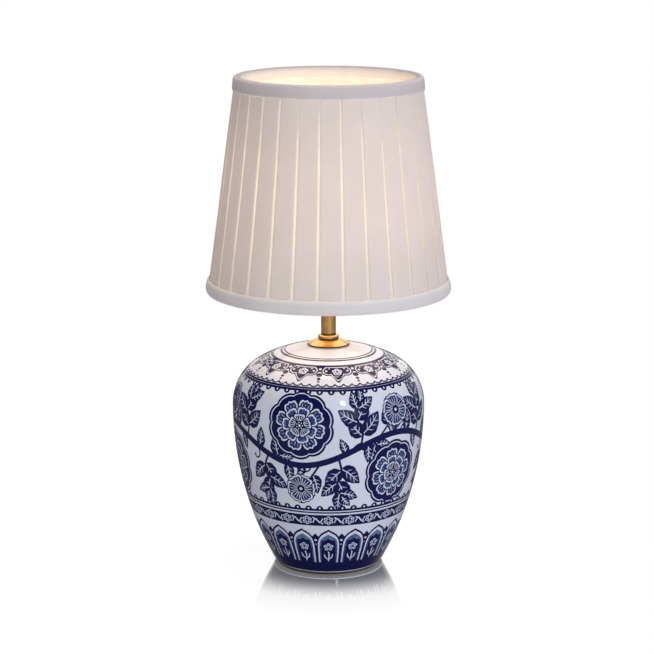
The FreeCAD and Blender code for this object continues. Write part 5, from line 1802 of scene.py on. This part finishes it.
@dataclass
class Jar:
    """The porcelain jar's painted pattern: its outside is three arcs that run into each other."""

    belly_height: float = 111.4 * MM
    wall_radius: float = 227.0 * MM
    wall_middle: float = -162.0 * MM
    shoulder_radius: float = 33.5 * MM
    shoulder_middle: float = 31.5 * MM
    shoulder_length: float = 36.6 * MM
    dome_radius: float = 102.0 * MM
    dome_middle_height: float = 50.57 * MM
    print_rise: float = 0.05 * MM
    print_depth: float = 0.12 * MM
    merge: float = 0.002 * MM

    def bands(self) -> list[JarPrint]:
        """Lists the bands of the pattern from the shoulder down.

        Returns:
            The bands in the order in which they are made.
        """
        return [
            JarPrint("print_neck_rings", 24, 30.5, 52.0, 56.2, paint_neck_rings),
            JarPrint("print_collar", 12, 44.0, 24.9, 47.8, paint_collar, math.radians(7.5)),
            JarPrint("print_scroll_upper", 3, 65.0, -18.0, 24.8, paint_scroll, math.radians(13.0)),
            JarPrint("print_scroll_lower", 3, 65.0, -60.8, -18.0, paint_scroll, math.radians(13.0)),
            JarPrint("print_belt", 24, 55.0, -73.0, -61.2, paint_belt),
            JarPrint("print_petals", 18, 47.0, -113.4, -75.0, paint_petals),
        ]

    def sizes(self) -> dict[str, float]:
        """Names the sizes of the jar's outside that the node tree takes.

        Returns:
            Each size by the name of its input.
        """
        return {"Belly Height": self.belly_height, "Wall Radius": self.wall_radius,
                "Wall Middle": self.wall_middle, "Shoulder Radius": self.shoulder_radius,
                "Shoulder Middle": self.shoulder_middle, "Shoulder Length": self.shoulder_length,
                "Dome Radius": self.dome_radius, "Dome Height": self.dome_middle_height,
                "Rise": self.print_rise, "Depth": self.print_depth}

    def tree(self) -> bpy.types.NodeTree:
        """Builds the node tree that repeats a flat cell, wraps it round the jar and gives it its thickness.

        Returns:
            The tree, with a band's sizes, the jar's sizes and the material as named inputs.
        """
        graph, given, result = size_tree("laid_print", {**self.bands()[0].sizes(), **self.sizes()})
        size = given.outputs
        line = graph.add("GeometryNodeMeshLine", {
            "Count": size["Repeats"], "Offset": graph.vector(size["Cell Width"])})
        copies = graph.add("GeometryNodeInstanceOnPoints", {
            "Points": line.outputs[0], "Instance": size["Geometry"]})
        real = graph.add("GeometryNodeRealizeInstances", {"Geometry": copies.outputs[0]})
        spot = graph.split(graph.add("GeometryNodeInputPosition").outputs[0])
        angle = graph.total(graph.math("DIVIDE", spot[0], size["Middle Radius"]), size["Turn"])
        level = spot[1]
        shoulder, wall, dome = (size[name + " Radius"] for name in ("Shoulder", "Wall", "Dome"))
        belly, end = size["Belly Height"], size["Shoulder Length"]
        arcs = graph.math("LESS_THAN", level, 0.0), graph.math("GREATER_THAN", level, end)
        over = graph.total(graph.math("DIVIDE", end, shoulder),
                           graph.math("DIVIDE", graph.minus(level, end), dome))
        slant = self.choose(graph, arcs, graph.math("DIVIDE", level, shoulder),
                            graph.math("DIVIDE", level, wall), over)
        radius = self.choose(graph, arcs, shoulder, wall, dome)
        middle = self.choose(graph, arcs, size["Shoulder Middle"], size["Wall Middle"], 0.0)
        base = self.choose(graph, arcs, belly, belly, size["Dome Height"])
        outward, upward = graph.math("COSINE", slant), graph.math("SINE", slant)
        below = graph.minus(graph.total(radius, size["Rise"]), size["Depth"])
        away = graph.total(middle, graph.product(below, outward))
        where = graph.around(away, angle, graph.total(base, graph.product(below, upward)))
        joined = self.merged(graph, real.outputs[0])
        marked = graph.add("GeometryNodeStoreNamedAttribute", {
            "Geometry": joined, "Name": FACING, "Value": graph.around(outward, angle, upward)},
            data_type="FLOAT_VECTOR", domain="POINT")
        wrapped = graph.add("GeometryNodeSetPosition", {"Geometry": marked.outputs[0], "Position": where})
        sealed = self.merged(graph, wrapped.outputs[0])
        facing = graph.add("GeometryNodeInputNamedAttribute", {"Name": FACING}, data_type="FLOAT_VECTOR")
        raised = graph.add("GeometryNodeExtrudeMesh", {
            "Mesh": sealed, "Offset": facing.outputs[0], "Offset Scale": size["Depth"], "Individual": False},
            mode="FACES")
        under = graph.add("GeometryNodeFlipFaces", {"Mesh": sealed})
        both = graph.add("GeometryNodeJoinGeometry")
        graph.plug(raised.outputs["Mesh"], both.inputs[0])
        graph.plug(under.outputs[0], both.inputs[0])
        return end_tree(graph, self.merged(graph, both.outputs[0]), size["Material"], result)

    def merged(self, graph: Graph, geometry: object) -> bpy.types.NodeSocket:
        """Joins points that lie in one place."""
        inputs = {"Geometry": geometry, "Distance": self.merge}
        return graph.add("GeometryNodeMergeByDistance", inputs).outputs[0]

    def choose(self, graph: Graph, arcs: tuple[object, object], shoulder: object, wall: object,
               dome: object) -> bpy.types.NodeSocket:
        """Picks the value of the arc that a point lies on.

        Args:
            graph: the tree's graph.
            arcs: whether the point is on the wall, and whether it is on the dome.
            shoulder: the value on the shoulder.
            wall: the value on the wall.
            dome: the value on the dome.

        Returns:
            The picked value.
        """
        lower = graph.add("ShaderNodeMix", {0: arcs[0], 2: shoulder, 3: wall}).outputs[0]
        return graph.add("ShaderNodeMix", {0: arcs[1], 2: lower, 3: dome}).outputs[0]

    def glaze_normals(self, piece: bpy.types.Object) -> None:
        """Gives the print the jar's own smooth normals, so that the gloss runs on unbroken over it.

        Args:
            piece: one band of the print.
        """
        mesh = piece.data
        facing = np.empty(len(mesh.vertices) * 3, np.float32)
        mesh.attributes[FACING].data.foreach_get("vector", facing)
        corners = np.empty(len(mesh.loops), np.int32)
        mesh.loops.foreach_get("vertex_index", corners)
        own = np.empty(len(mesh.polygons) * 3, np.float32)
        mesh.polygons.foreach_get("normal", own)
        sizes = np.empty(len(mesh.polygons), np.int32)
        mesh.polygons.foreach_get("loop_total", sizes)
        flat = np.repeat(own.reshape(-1, 3), sizes, axis=0)
        smooth = facing.reshape(-1, 3)[corners]
        outer = np.sum(flat * smooth, axis=1) > 0.7
        mesh.shade_smooth()
        mesh.normals_split_custom_set(np.where(outer[:, None], smooth, flat).tolist())
        mesh.attributes.remove(mesh.attributes[FACING])

    def build(self) -> None:
        """Lays every band of the pattern."""
        tree = self.tree()
        for band in self.bands():
            piece = band.build(tree, self.sizes())
            self.glaze_normals(piece)
            place(piece, Body.LAMP, "printed_porcelain")


def dress_nodes() -> None:
    """Gives every CAD node that stays its finish, through its material slots."""
    for finish, names in NODE_FINISHES.items():
        for name in names:
            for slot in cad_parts[name].material_slots:
                slot.material = finish.material()
            log.info("%s: %s", name, finish.name)


def main() -> None:
    """Builds the studio and then the lamp, piece by piece."""
    logging.basicConfig(level=logging.INFO, format="%(message)s")
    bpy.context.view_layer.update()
    for material in bpy.data.materials:
        material.name = "cad_" + material.name
    Studio().build()
    dress_nodes()
    Jar().build()
    cover = PleatedCover()
    cover.build()
    Bindings(cover).build()


if __name__ == "__main__":
    main()
